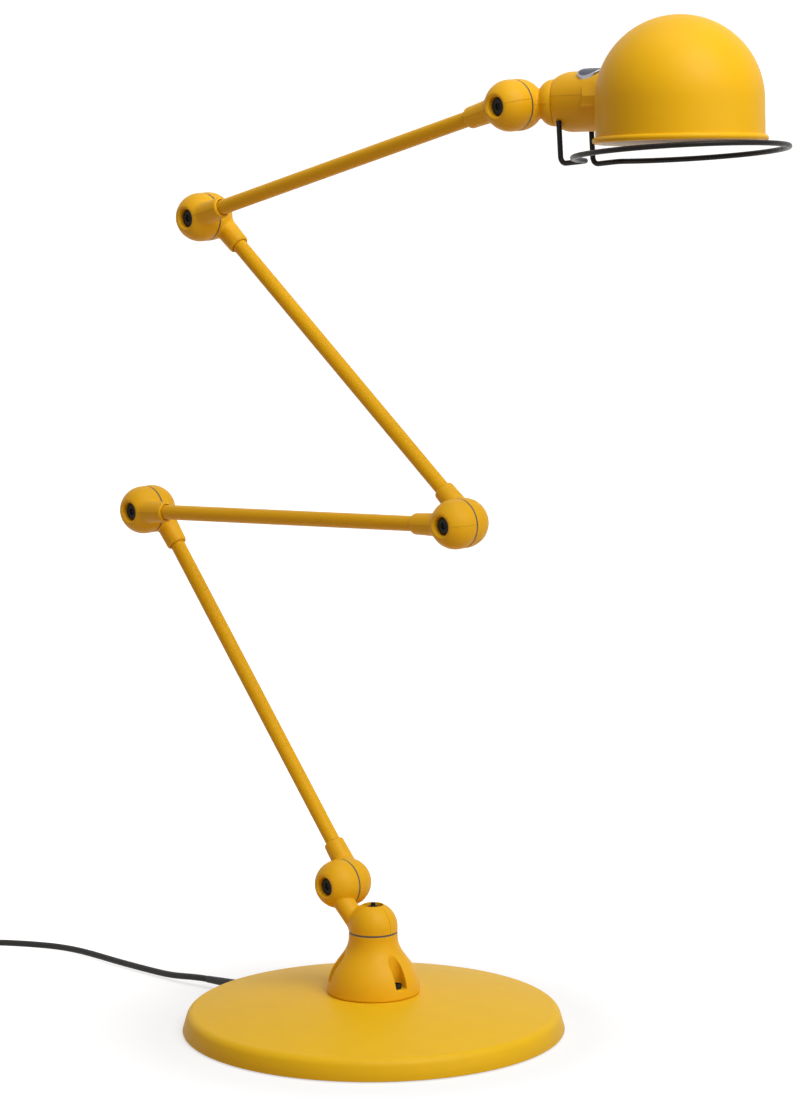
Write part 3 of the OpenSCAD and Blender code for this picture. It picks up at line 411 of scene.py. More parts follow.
white_ceramic = finish("white_ceramic", (0.78, 0.77, 0.73), 0.35, spec=0.45, tone=0.02,
                       grains=((500.0, 0.1, 0.0001),))
opal = finish("opal_glass", (0.86, 0.86, 0.84), 0.2, spec=0.5, tone=0.01, grains=((90.0, 0.05, 0.0002),))
plate_rim = finish("brushed_rim", (0.36, 0.36, 0.38), 0.34, metal=1.0, grains=((2500.0, 0.15, 0.00005),))
plate_field = finish("slate_field", (0.030, 0.034, 0.062), 0.4, spec=0.25, tone=0.2, tone_scale=350.0)


# Pieces
def piece(name, points, faces, mats, body, slot, replaced=(), normals=None, sharp=35.0, picks=None):
    """Makes a mesh from millimetre points and rides it on a body.

    Its shading is smooth and breaks at sharp edges, or follows the normals that are given.
    """
    mesh = bpy.data.meshes.new(name)
    mesh.from_pydata((np.asarray(points) * MM).tolist(), [], [tuple(f) for f in faces])
    for mat in mats if isinstance(mats, (list, tuple)) else [mats]:
        mesh.materials.append(mat)
    mesh.shade_smooth()
    if picks is not None:
        mesh.polygons.foreach_set("material_index", np.asarray(picks, np.int32))
    if normals is not None:
        mesh.normals_split_custom_set_from_vertices(np.asarray(normals).tolist())
    else:
        mesh.set_sharp_from_angle(angle=math.radians(sharp))
    obj = bpy.data.objects.new(name, mesh)
    scene.collection.objects.link(obj)
    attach(obj, body)
    if replaced:
        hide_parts(*replaced)
    return obj


def joined(parts):
    """Several (points, faces) as one."""
    points, faces, start = [], [], 0
    for part_points, part_faces in parts:
        points.append(part_points)
        faces += [tuple(i + start for i in f) for f in part_faces]
        start += len(part_points)
    return np.concatenate(points), faces


def placed(made, m):
    """A made piece in its place. A mirrored place turns its faces round."""
    faces = [f[::-1] for f in made[1]] if np.linalg.det(m[:3, :3]) < 0 else made[1]
    return put(m, made[0]), faces


def loft(rings):
    """Closed skin through rings of the same number of points, counter-clockwise seen from the far end."""
    sides = len(rings[0])
    faces = []
    for i in range(len(rings) - 1):
        for k in range(sides):
            n = (k + 1) % sides
            faces.append((i * sides + k, i * sides + n, (i + 1) * sides + n, (i + 1) * sides + k))
    faces.append(tuple(range(sides))[::-1])
    end = (len(rings) - 1) * sides
    faces.append(tuple(end + k for k in range(sides)))
    return np.concatenate([np.asarray(r, float) for r in rings]), faces


def circle(r, z, sides):
    a = np.arange(sides) * 2 * math.pi / sides
    return np.stack([r * np.cos(a), r * np.sin(a), np.full(sides, z)], 1)


def hexagon(r, z, sides):
    """Hexagon of that corner radius as a ring of many points."""
    a = np.arange(sides) * 2 * math.pi / sides
    within = (a % (math.pi / 3)) - math.pi / 6
    reach = r * math.cos(math.pi / 6) / np.cos(within)
    return np.stack([reach * np.cos(a), reach * np.sin(a), np.full(sides, z)], 1)


def lathe(profile, sides):
    """Turned piece along Z from (radius, height) points, bottom first."""
    return loft([circle(max(r, 0.01), z, sides) for r, z in profile])


def arc(middle, r, start, end, steps):
    a = np.radians(np.linspace(start, end, steps + 1))
    return np.stack([middle[0] + r * np.cos(a), middle[1] + r * np.sin(a)], 1)


def bezier(a, b, c, d, steps):
    t = np.linspace(0, 1, steps + 1)[:, None]
    s = 1 - t
    a, b, c, d = (np.asarray(v, float) for v in (a, b, c, d))
    return s ** 3 * a + 3 * s * s * t * b + 3 * s * t * t * c + t ** 3 * d


def sweep(path, section, up=(0, 0, 1)):
    """Section, as (side, up) points counter-clockwise seen along the path, carried along it without twist."""
    path = np.asarray(path, float)
    ahead = np.gradient(path, axis=0)
    ahead /= np.linalg.norm(ahead, axis=1)[:, None]
    side = np.cross(ahead[0], up)
    side /= np.linalg.norm(side)
    rings = []
    for point, direction in zip(path, ahead):
        side = side - direction * side.dot(direction)
        side /= np.linalg.norm(side)
        over = np.cross(side, direction)
        rings.append(point + section[:, :1] * side + section[:, 1:] * over)
    return loft(rings[::-1])


def round_section(r, sides=16):
    a = np.arange(sides) * 2 * math.pi / sides
    return np.stack([r * np.cos(a), r * np.sin(a)], 1)


def flowing(points, per=2):
    """Smooth curve through points, with some steps to each stretch."""
    p = np.asarray(points, float)
    p = np.concatenate([[2 * p[0] - p[1]], p, [2 * p[-1] - p[-2]]])
    out = []
    for i in range(1, len(p) - 2):
        for t in np.arange(per) / per:
            out.append(0.5 * (2 * p[i] + (p[i + 1] - p[i - 1]) * t
                              + (2 * p[i - 1] - 5 * p[i] + 4 * p[i + 1] - p[i + 2]) * t * t
                              + (3 * p[i] - p[i - 1] - 3 * p[i + 1] + p[i + 2]) * t ** 3))
    out.append(p[-2])
    return np.array(out)


# Cord: a free run to the switch, then a coil from the switch to the plug
gland_turn = math.radians(GLAND_TURN)
gland_dir = np.array([-math.cos(gland_turn), -math.sin(gland_turn), 0])
gland_tip = np.array([-BASE_R, 0, 0]) + GLAND_LEN * gland_dir
switch_dir = np.array([-0.8, -0.6, 0])
switch_side = np.array([-0.6, 0.8, 0])
switch_start = gland_tip + SWITCH_AT
switch_end = switch_start + SWITCH_LEN * switch_dir
coil_out = COIL_IN + LAYER_TURNS * COIL_PITCH
coil_turns = LAYERS * LAYER_TURNS + (LAYERS - 1) / 2
coil_lead = math.sqrt((coil_out + CORD_R) ** 2 - (coil_out - SWITCH_W / 2) ** 2) + COIL_CLEAR
coil_middle = switch_end + coil_lead * switch_dir + coil_out * switch_side
coil_start_angle = math.atan2(-switch_side[1], -switch_side[0])
ON_FLOOR = np.array([0, 0, CORD_Z])
# The free run's points from the gland's tip: along X, along Y, and the share of the gland's height
RUN_POINTS = (
    (-14.5, -2.4, 0.8), (-26.5, -3.4, 0.37), (-38.5, -3.6, 0.07), (-50.5, -3.8, 0), (-64.5, -4, 0),
    (-78.5, -4, 0), (-92.5, -3.7, 0), (-106.5, -3, 0), (-120.5, -2.6, 0), (-132.5, -3, 0), (-144.5, -4.8, 0),
    (-155.5, -8.2, 0), (-165.5, -12.8, 0), (-175.5, -18.3, 0), (-185.5, -24.8, 0))


def free_point(x, y, lift):
    return gland_tip + [x, y, CORD_Z + lift * (GLAND_Z - CORD_Z)]


def coil_point(t):
    """Point of the coil after t turns. Each layer winds in or out, then climbs to the next in half a turn."""
    layer = min(LAYERS - 1, math.floor(t / (LAYER_TURNS + 0.5)))
    part = t - layer * (LAYER_TURNS + 0.5)
    wound = min(1, part / LAYER_TURNS) * (coil_out - COIL_IN)
    r = coil_out - wound if layer % 2 == 0 else COIL_IN + wound
    rise = (1 - math.cos(math.pi * 2 * max(0, part - LAYER_TURNS))) / 2
    a = coil_start_angle - 2 * math.pi * t
    return coil_middle + [r * math.cos(a), r * math.sin(a), CORD_Z + LAYER_H * (layer + rise)]


run_route = [free_point(0, 0, 1), gland_tip + 2 * CORD_R * gland_dir + [0, 0, GLAND_Z]]
run_route += [free_point(*p) for p in RUN_POINTS]
run_route += [switch_start - d * CORD_R * switch_dir + ON_FLOOR for d in (4, 2, 0)]
run_path = flowing(run_route)

coil_steps = round(coil_turns * TURN_STEPS)
coil_end_angle = coil_start_angle - 2 * math.pi * coil_turns
coil_end_dir = np.array([math.sin(coil_end_angle), -math.cos(coil_end_angle), 0])
plug_lead = max(3 * CORD_R, coil_out + CORD_R - RELIEF + PLUG_CLEAR)
coil_end = coil_point(coil_turns) + plug_lead * coil_end_dir
coil_path = [switch_end + d * switch_dir + ON_FLOOR
             for d in (0, 2 * CORD_R, coil_lead / 2, coil_lead - 2 * CORD_R)]
coil_path += [coil_point(coil_turns * i / coil_steps) for i in range(coil_steps + 1)]
coil_path = np.array(coil_path + [coil_end - 2 * CORD_R * coil_end_dir, coil_end])


cord_run = piece("cord_flex", *sweep(run_path, round_section(CORD_R)), cord_black, "base", "cord",
                 ["cord_run"])
cord_coil = piece("cord_winding", *sweep(coil_path, round_section(CORD_R)), cord_black, "base", "cord",
                  ["cord_coil"])


# Forms from distance fields: solids joined and cut with soft edges, then skinned
def smin(a, b, k):
    h = np.clip(0.5 + 0.5 * (b - a) / k, 0, 1)
    return b * (1 - h) + a * h - k * h * (1 - h)


def smax(a, b, k):
    return -smin(-a, -b, k)


def slopes(field, points, h=0.01):
    g = np.empty_like(points)
    for axis in range(3):
        d = np.zeros(3)
        d[axis] = h
        g[:, axis] = (field(points + d) - field(points - d)) / (2 * h)
    return g


SETTLE_ROUNDS = 4
LEAST_SLOPE = 0.2


def skin(field, low, high, step):
    """Quads round the inside of a field, moved on to its surface, with the field's own normals."""
    axes = [np.arange(a - step, b + 2 * step, step) for a, b in zip(low, high)]
    shape = tuple(len(a) for a in axes)
    grid = np.stack(np.meshgrid(*axes, indexing="ij"), -1)
    d = field(grid.reshape(-1, 3)).reshape(shape)
    inside = d < 0
    cells = tuple(n - 1 for n in shape)
    total = np.zeros(cells + (3,))
    count = np.zeros(cells)
    crossings = []
    for axis in range(3):
        a, b = [slice(None)] * 3, [slice(None)] * 3
        a[axis], b[axis] = slice(0, -1), slice(1, None)
        a, b = tuple(a), tuple(b)
        cross = inside[a] != inside[b]
        crossings.append((cross, inside[a]))
        p = grid[a].copy()
        p[..., axis] += np.where(cross, d[a] / np.where(cross, d[a] - d[b], 1), 0) * step
        p *= cross[..., None]
        first, second = [k for k in range(3) if k != axis]
        for i in (0, 1):
            for j in (0, 1):
                s = [slice(None)] * 3
                s[first], s[second] = slice(i, i + cells[first]), slice(j, j + cells[second])
                total += p[tuple(s)]
                count += cross[tuple(s)]
    active = count > 0
    index = np.full(cells, -1)
    index[active] = np.arange(active.sum())
    points = total[active] / count[active][:, None]
    quads = []
    for axis, (cross, lower_inside) in enumerate(crossings):
        first, second = (axis + 1) % 3, (axis + 2) % 3
        where = np.argwhere(cross)
        corners = []
        for i, j in ((1, 1), (0, 1), (0, 0), (1, 0)):
            c = where.copy()
            c[:, first] -= i
            c[:, second] -= j
            corners.append(index[tuple(c.T)])
        quad = np.stack(corners, 1)
        flip = ~lower_inside[tuple(where.T)]
        quad[flip] = quad[flip][:, ::-1]
        quads.append(quad)
    for _ in range(SETTLE_ROUNDS):
        g = slopes(field, points)
        size = np.maximum(np.linalg.norm(g, axis=1), LEAST_SLOPE)
        points = points - np.clip(field(points) / size, -step, step)[:, None] * g / size[:, None]
    g = slopes(field, points)
    return points, np.concatenate(quads), g / np.linalg.norm(g, axis=1)[:, None]


def casting(name, made, m, body, replaced):
    """Places a skinned form as a painted casting. A mirrored place turns its faces round."""
    points, quads, normals = made
    flat = m[:3, :3]
    if np.linalg.det(flat) < 0:
        quads = quads[:, ::-1]
    piece(name, put(m, points), quads.tolist(), cast_paint, body, "alloy_paint", [replaced],
          normals=normals @ flat.T)


def half_ball(p):
    r = np.hypot(p[:, 0], p[:, 2])
    body = np.hypot(r, np.maximum(p[:, 1] - STRAIGHT, 0)) - BALL_R
    return smax(body, p[:, 1] - LIP_Y, LIP_ROUND)


def screw_recess(p):
    """Recess of a half-ball's screw, with its chamfered mouth."""
    r = np.hypot(p[:, 0], p[:, 2])
    well = np.maximum(r - RECESS_R, SEAT_Y - p[:, 1])
    mouth = (r - RECESS_R - p[:, 1] + LIP_Y - CHAMFER) / math.sqrt(2)
    return smin(well, mouth, RECESS_ROUND)


def half_ball_cut(d, p):
    """Takes the screw recess and the seam's flat off a half-ball."""
    d = smax(d, -screw_recess(p), RECESS_ROUND)
    return smax(d, SEAM - p[:, 1], SEAM_ROUND)


def arm_half(p):
    x = p[:, 0]
    rho = np.hypot(p[:, 1] - BOSS_Y, p[:, 2])
    end = BOSS_REACH - BOSS_CHAMFER
    wide = BOSS_R + BOSS_DRAFT * np.clip((end - x) / (end - BOSS_START), 0, 1)
    boss = smax(rho - wide, x - BOSS_REACH, BOSS_END_ROUND)
    boss = smax(boss, (rho - BOSS_R + x - end) / math.sqrt(2), BOSS_CHAMFER_ROUND)
    boss = np.maximum(boss, BOSS_START - x)
    d = half_ball_cut(smin(half_ball(p), boss, BOSS_FILLET), p)
    bore = np.maximum(rho - TUBE_R - FIT, SOCKET_START - x)
    step = np.maximum(rho - TUBE_R - SOCKET_GAP, BOSS_REACH - SOCKET_STEP - x)
    mouth = (rho - TUBE_R - x + BOSS_REACH - SOCKET_MOUTH) / math.sqrt(2)
    return smax(d, -np.minimum(np.minimum(bore, step), mouth), SOCKET_ROUND)


stub_axis = (turn("y", 180 - STUB_ANGLE) @ turn("z", STUB_TURN))[:3, 0]


def dome(p):
    """Swivel dome, stub arm and the first ball's near half, which are one casting."""
    d = np.sqrt(p[:, 0] ** 2 + p[:, 1] ** 2 + np.maximum(p[:, 2] - DOME_MID, 0) ** 2) - DOME_R
    d = smax(d, DOME_Z - p[:, 2], SEAM_ROUND)
    q = p - (joints[0] - [0, BOSS_Y, 0])
    far = q @ stub_axis
    stub = np.linalg.norm(q - np.clip(far, 0, STUB_LEN)[:, None] * stub_axis, axis=1) - STUB_R
    stub = np.maximum(stub, DOME_Z + STUB_FLOOR - p[:, 2])
    d = smin(d, stub, STUB_FILLET)
    ball = (p - joints[0]) * [1, -1, 1]
    d = smin(d, half_ball(ball), BALL_CREASE)
    d = smax(d, -screw_recess(ball), RECESS_ROUND)
    # The far half of the ball turns here, and the dome stays whole outside its sweep
    swept = np.maximum(np.hypot(ball[:, 0], ball[:, 2]) - BALL_R - SWEEP_GAP, ball[:, 1] - SEAM)
    d = smax(d, -swept, SEAM_ROUND)
    r = np.hypot(p[:, 0], p[:, 1])
    return smax(d, -np.maximum(r - DOME_RECESS_R, DOME_TOP - DOME_RECESS_H - p[:, 2]), RECESS_ROUND)


cup_dir = turn("z", NECK_TURN)[:3, 0]


def neck(p):
    q = p - [0, NECK_OFFSET, 0]
    far = q @ cup_dir
    r = np.linalg.norm(q - far[:, None] * cup_dir, axis=1)
    core = CUP_R - CUP_ROUND
    cup = np.hypot(np.maximum(NECK_LEN - CUP_LIP - far, 0), np.maximum(r - core, 0)) - CUP_ROUND
    stem = np.maximum(np.maximum(r - core, -far), far - NECK_LEN + CUP_ROUND)
    d = smin(half_ball(p), smin(cup, stem, CUP_FILLET), NECK_FILLET)
    return smax(half_ball_cut(d, p), far - NECK_LEN, CUP_EDGE)


def outline_distance(x, y, corners):
    """Signed distance to a closed outline."""
    best = np.full(x.shape, 1e9)
    inside = np.zeros(x.shape, bool)
    for (ax, ay), (bx, by) in zip(corners, corners[1:] + corners[:1]):
        ex, ey = bx - ax, by - ay
        t = np.clip(((x - ax) * ex + (y - ay) * ey) / (ex * ex + ey * ey), 0, 1)
        best = np.minimum(best, np.hypot(x - ax - ex * t, y - ay - ey * t))
        if ay != by:
            inside ^= ((ay > y) != (by > y)) & (x < ex * (y - ay) / ey + ax)
    return np.where(inside, -best, best)


to_housing = np.linalg.inv(at_housing)
swivel_point = put(to_housing, at_cup[:3, 3])
swivel_dir = to_housing[:3, :3] @ at_cup[:3, 2]
to_shade = np.linalg.inv(at_shade) @ at_housing
shade_back = SHADE_REACH - math.sqrt(SHADE_R ** 2 - HOUSING_R ** 2)
lug_out = HOUSING_R + LUG_PROUD
lug_half = LUG_H / 2
lug_outline = [
    (-HOUSING_R / 2, lug_half), (-HOUSING_R, lug_half), (-lug_out, 0),
    (LUG_LIP - lug_out, LUG_LIP - lug_half), (-lug_out, LUG_LIP - lug_half), (-lug_out, -lug_half),
    (-HOUSING_R / 2, -lug_half)]


def housing(p):
    """Round-backed housing with a lug on each side, cut flat at the neck and hollowed to the shade."""
    d = np.sqrt(np.minimum(p[:, 0], 0) ** 2 + p[:, 1] ** 2 + p[:, 2] ** 2) - HOUSING_R
    for half in (0, 180):
        q = put(turn("x", -HOUSING_TURN - half), p)
        end = (shade_back - LUG_LEN - q[:, 0] - q[:, 1] - lug_out) / math.sqrt(2)
        lug = smax(outline_distance(q[:, 1], q[:, 2], lug_outline), end, LUG_EDGE)
        d = smin(d, lug, LUG_CREASE)
    d = smax(d, HEAD_GAP - (p - swivel_point) @ swivel_dir, HOUSING_EDGE)
    q = put(to_shade, p)
    envelope = np.sqrt(q[:, 0] ** 2 + q[:, 1] ** 2 + np.maximum(q[:, 2], 0) ** 2) - SHADE_R - FIT
    return smax(d, -envelope, SHADE_FIT_EDGE)


# The bell's outline as radius over height, with a straight stretch past both ends
BELL_STEPS = 60
BELL_PAST = 3.0
LEAN_STEP = 0.3
waist_z = BELL_TOP - NECK_H
bell_curve = bezier([FOOT_R, FOOT_Z], [FOOT_R, FOOT_Z + BELL_SWELL * BELL_H],
                    [DOME_R + WAIST_FLARE, waist_z - BELL_WAIST * BELL_H], [DOME_R, waist_z], BELL_STEPS)
bell_z = np.concatenate([[FOOT_Z - BELL_PAST], bell_curve[:, 1], [BELL_TOP + BELL_PAST]])
bell_r = np.concatenate([[FOOT_R], bell_curve[:, 0], [DOME_R]])


def bell(p):
    z = p[:, 2]
    r = np.hypot(p[:, 0], p[:, 1])
    above = np.interp(z + LEAN_STEP, bell_z, bell_r)
    below = np.interp(z - LEAN_STEP, bell_z, bell_r)
    lean = (above - below) / (2 * LEAN_STEP)
    d = (r - np.interp(z, bell_z, bell_r)) / np.sqrt(1 + lean ** 2)
    d = smax(d, z - BELL_TOP, SEAM_ROUND)
    d = smax(d, FOOT_Z + FOOT_SUNK - z, FOOT_ROUND)
    for i in range(POCKETS):
        q = put(turn("z", -SLOT_TURN - 360 / POCKETS * i), p)
        pocket = np.hypot(np.minimum(q[:, 0] - SLOT_BACK - SLOT_W / 2, 0), q[:, 1]) - SLOT_W / 2
        d = smax(d, -smax(pocket, FOOT_Z + SLOT_FLOOR - q[:, 2], POCKET_FLOOR_ROUND), POCKET_EDGE)
    return d


# Skins of the castings. Each has the lowest and highest corners of the room that its field is read in
FINE = 0.5
BALL_ROOM = 17.0
DOME_NEAR = 21.0
DOME_UNDER = 32.0
NECK_HIGH = (30.0, 32.0, BALL_ROOM)
HOUSING_LOW = (-19.0, -23.0, -20.0)
HOUSING_HIGH = (60.0, 23.0, 20.0)
BELL_ROOM = FOOT_R + 0.5
TUBE_SIDES = 48
TUBE_RINGS = 40

arm_casting = skin(arm_half, (-BALL_R, 0, -BALL_R), (BOSS_REACH, LIP_Y, BALL_R), FINE)
tube_start = SOCKET_START + TUBE_GAP
tube = lathe([(TUBE_R, z) for z in np.linspace(tube_start, ARM_LEN - tube_start, TUBE_RINGS)], TUBE_SIDES)
for arm in ARMS:
    lower, upper = arm_ends(arm)
    casting(f"arm_{arm}_lower_casting", arm_casting, lower, f"arm_{arm}", f"arm_{arm}_lower_half")
    casting(f"arm_{arm}_upper_casting", arm_casting, upper, f"arm_{arm}", f"arm_{arm}_upper_half")
    tube_place = lower @ shift(0, BOSS_Y, 0) @ ALONG_X
    piece(f"arm_{arm}_tube_painted", *placed(tube, tube_place), paint, f"arm_{arm}", "paint",
          [f"arm_{arm}_tube"])
dome_low = joints[0] * [1, 0, 1] - [BALL_ROOM, DOME_NEAR, DOME_UNDER]
dome_high = (BALL_ROOM, BALL_ROOM, joints[0][2] + BALL_ROOM)
casting("swivel_casting", skin(dome, dome_low, dome_high, FINE), np.eye(4), "swivel", "swivel_dome")
neck_skin = skin(neck, (-BALL_ROOM, 0, -BALL_ROOM), NECK_HIGH, FINE)
casting("neck_casting", neck_skin, at_neck, "neck", "neck")
housing_skin = skin(housing, HOUSING_LOW, HOUSING_HIGH, 0.8 * FINE)
casting("housing_casting", housing_skin, at_housing, "head", "housing")
bell_skin = skin(bell, (-BELL_ROOM, -BELL_ROOM, FOOT_Z - 1), (BELL_ROOM, BELL_ROOM, BELL_TOP), FINE)
casting("pedestal_casting", bell_skin, np.eye(4), "base", "pedestal")


# Base with its leaning side and softly rounded edge
def base_outline():
    dx = BASE_R - EDGE_MID_R
    dz = EDGE_MID_Z - BASE_FOOT - BASE_CHAMFER
    lean = math.degrees(math.atan2(dx, dz) - math.asin(EDGE_R / math.hypot(dx, dz)))
    felt_top = FELT_T + FELT_GAP
    rim = [(FELT_R - FELT_LAP, felt_top), (FELT_R + FIT, felt_top), (FELT_R + FIT, BASE_FOOT),
           (BASE_R - BASE_CHAMFER, BASE_FOOT), (BASE_R - 0.3 * BASE_CHAMFER, BASE_FOOT + 0.3 * BASE_CHAMFER),
           (BASE_R, BASE_FOOT + BASE_CHAMFER)]
    edge = arc((EDGE_MID_R, EDGE_MID_Z), EDGE_R, lean, EDGE_END, EDGE_STEPS)
    out = np.linspace(EDGE_MID_R - 1, 0.2, TOP_STEPS)
    top = np.stack([out, BASE_TOP - CAP_R + np.sqrt(CAP_R ** 2 - out ** 2)], 1)
    return np.concatenate([rim, edge, top])


piece("base_casting", *lathe(base_outline(), BASE_SIDES), base_coat_lit, "base", "alloy_paint", ["base_disc"],
      sharp=40)


# Shade: one sheet, painted outside and white inside, with its rim rolled into a bead
def make_shade():
    bead = arc((SHADE_R, -SKIRT), BEAD_R, BEAD_START, BEAD_END, 22)
    outer = arc((0, 0), SHADE_R, 90, 0, 44)[1:]
    skirt = [(SHADE_R, z) for z in np.linspace(-2, -SKIRT + BEAD_R, 8)]
    inner = arc((0, 0), SHADE_R - SHADE_WALL, 0, 90, 40)[:-1]
    inside = [(SHADE_R - SHADE_WALL, z) for z in np.linspace(-SKIRT + 1.6, -1, 8)]
    profile = np.concatenate([outer, skirt, bead, inside, inner])[::-1]
    points, faces = lathe(profile, SHADE_SIDES)
    white = (len(inside) + len(inner) + WHITE_BEAD_RINGS) * SHADE_SIDES
    picks = [1] * white + [0] * (len(faces) - white)
    # The two last faces close the inside's top and the outside's top
    picks[-2] = 1
    piece("shade_shell", put(at_shade, points), faces, [shade_sheet_lit, white_inside], "head", "paint",
          ["shade"], sharp=50, picks=picks)


make_shade()


# Ring guard: one bent wire, whose two legs go up into the housing
def ring_path():
    side = LEG_HALF + BEND_R
    bend_x = -math.sqrt((RING_R + BEND_R) ** 2 - side ** 2)
    opened = math.degrees(math.atan2(side, -bend_x))
    leg_top = -(math.sqrt(HOUSING_R ** 2 - LEG_HALF ** 2) - LEG_SUNK) - ring_z
    down = [(-ring_x, LEG_HALF, z) for z in np.linspace(leg_top, BEND_R, 6)[:-1]]
    corner = [(x, LEG_HALF, z) for x, z in arc((-ring_x + BEND_R, BEND_R), BEND_R, 180, 270, 8)]
    out = [(x, y, 0) for x, y in arc((bend_x, side), BEND_R, -90, -opened, 8)]
    half = down + corner + out
    hoop = [(x, y, 0) for x, y in arc((0, 0), RING_R, 180 - opened, opened - 180, 150)][1:-1]
    return np.array(half + hoop + [(x, -y, z) for x, y, z in half[::-1]])


ring = sweep(put(at_ring, ring_path()), round_section(WIRE_R, 20), up=(0, 1, 0.1))
piece("ring_wire", *ring, black_wire, "head", "black_steel", ["ring_guard"])

# Section of the plate from its edge to its middle: the inset from its radius, and the height on the housing
RIM_SECTION = ((0, -0.3), (0, PLATE_T - 0.4), (0.15, PLATE_T - 0.15), (0.4, PLATE_T), (0.9, PLATE_T),
               (1.05, PLATE_T - 0.1), (1.1, PLATE_T - 0.35))
FIELD_SECTION = ((PLATE_R / 2, PLATE_T - 0.35), (PLATE_R - 0.01, PLATE_T - 0.35))


# Bare round plate, bent to the housing: a bright rim round a dark field
def make_plate():
    a = np.arange(PLATE_SIDES) * 2 * math.pi / PLATE_SIDES
    rings = []
    for inset, height in RIM_SECTION + FIELD_SECTION:
        x = PLATE_X + (PLATE_R - inset) * np.cos(a)
        y = (PLATE_R - inset) * np.sin(a)
        rings.append(np.stack([x, y, np.sqrt((HOUSING_R + FIT + height) ** 2 - y * y)], 1))
    points, faces = loft(rings)
    rim_faces = (len(RIM_SECTION) - 1) * PLATE_SIDES
    field_faces = len(FIELD_SECTION) * PLATE_SIDES
    # The two last faces close the underside and the middle of the field
    picks = [0] * rim_faces + [1] * field_faces + [0, 1]
    piece("housing_plate_bare", put(at_housing @ turn("x", PLATE_TURN), points), faces,
          [plate_rim, plate_field], "head", "plate", ["housing_plate"], picks=picks)


make_plate()

# Smooth tapered gland
gland_taper = [(CORD_R + GLAND_WALL + GLAND_SPREAD * t, GLAND_LIP + (GLAND_LEN - GLAND_LIP) * t)
               for t in np.linspace(0, 1, 12)]
gland = lathe([(CORD_R, -0.1), (CORD_R + 0.12, 0), *gland_taper,
               (CORD_R + GLAND_WALL + GLAND_SPREAD, GLAND_LEN + GLAND_SUNK)], 48)
gland_place = shift(*(gland_tip + [0, 0, GLAND_Z])) @ turn("z", GLAND_TURN) @ ALONG_X
piece("cord_gland_smooth", *placed(gland, gland_place), black_plastic, "base", "cord", ["cord_gland"])

# Parting lines of the castings: low ridges, found by going from well outside straight on to the surface
LINE_WIDE = 0.5
LINE_PROUD = 0.14
LINE_SUNK = 0.2
OUTSIDE = 30.0
WALK_ROUNDS = 80
WALK_SHARE = 0.8
BACK_LINE_START = 57
BOSS_LINE_START = 8.4
DOME_LINE_START = 60
NECK_LINE_START = 9.0
HOUSING_LINE_START = -12.0
HOUSING_LINE_RAISED = 10
EDGE_MARGIN = 0.5
SEAM_MARGIN = 0.4
BEND_MARGIN = 0.3


def onto(field, points, ahead):
    """Points carried ahead until they meet a field's surface."""
    points = np.array(points, float)
    for _ in range(WALK_ROUNDS):
        points = points + WALK_SHARE * field(points)[:, None] * ahead
    return points


def ridge(field, path):
    up = slopes(field, path)
    up /= np.linalg.norm(up, axis=1)[:, None]
    ahead = np.gradient(path, axis=0)
    side = np.cross(up, ahead)
    side /= np.linalg.norm(side, axis=1)[:, None]
    shoulder = 0.8 * LINE_PROUD
    section = ((-0.5, -LINE_SUNK), (0.5, -LINE_SUNK), (0.25, shoulder), (0, LINE_PROUD), (-0.25, shoulder))
    return loft([point + np.array([LINE_WIDE * a * s + b * u for a, b in section])
                 for point, s, u in zip(path, side, up)])


def round_the_back():
    a = np.radians(np.linspace(BACK_LINE_START, 0, 24))
    out = np.stack([-np.cos(a), np.sin(a), 0 * a], 1)
    sides = np.linspace(STRAIGHT - BEND_MARGIN, SEAM + SEAM_MARGIN, 8)
    straight = np.array([(-OUTSIDE, y, 0) for y in sides])
    starts = np.concatenate([OUTSIDE * out + [0, STRAIGHT, 0], straight])
    return onto(arm_half, starts, np.concatenate([-out, np.tile([1.0, 0, 0], (8, 1))]))


def along_boss():
    x = np.linspace(BOSS_LINE_START, BOSS_REACH - BOSS_CHAMFER - EDGE_MARGIN, 40)
    return onto(arm_half, np.stack([x, 0 * x + OUTSIDE, 0 * x], 1), np.array([0, -1.0, 0]))


def over_dome():
    a = np.radians(np.linspace(DOME_LINE_START, 0, 24))
    out = np.stack([np.cos(a), 0 * a, np.sin(a)], 1)
    sides = np.linspace(DOME_MID - BEND_MARGIN, DOME_Z + SEAM_MARGIN, 6)
    straight = np.array([(OUTSIDE, 0, z) for z in sides])
    return onto(dome, np.concatenate([OUTSIDE * out + [0, 0, DOME_MID], straight]),
                np.concatenate([-out, np.tile([-1.0, 0, 0], (6, 1))]))


def along_neck():
    near = np.array([cup_dir[1], -cup_dir[0], 0])
    far = np.linspace(NECK_LINE_START, NECK_LEN - EDGE_MARGIN, 40)
    path = onto(neck, [0, NECK_OFFSET, 0] + far[:, None] * cup_dir + OUTSIDE * near, -near)
    return path[path[:, 1] > SEAM + EDGE_MARGIN]


def along_housing():
    raised = math.radians(HOUSING_LINE_RAISED)
    near = np.array([0, -math.cos(raised), math.sin(raised)])
    x = np.linspace(HOUSING_LINE_START, shade_back - LUG_LEN - 0.1, 60)
    path = onto(housing, x[:, None] * [1, 0, 0] + OUTSIDE * near, -near)
    return path[(path - swivel_point) @ swivel_dir > HEAD_GAP + EDGE_MARGIN]


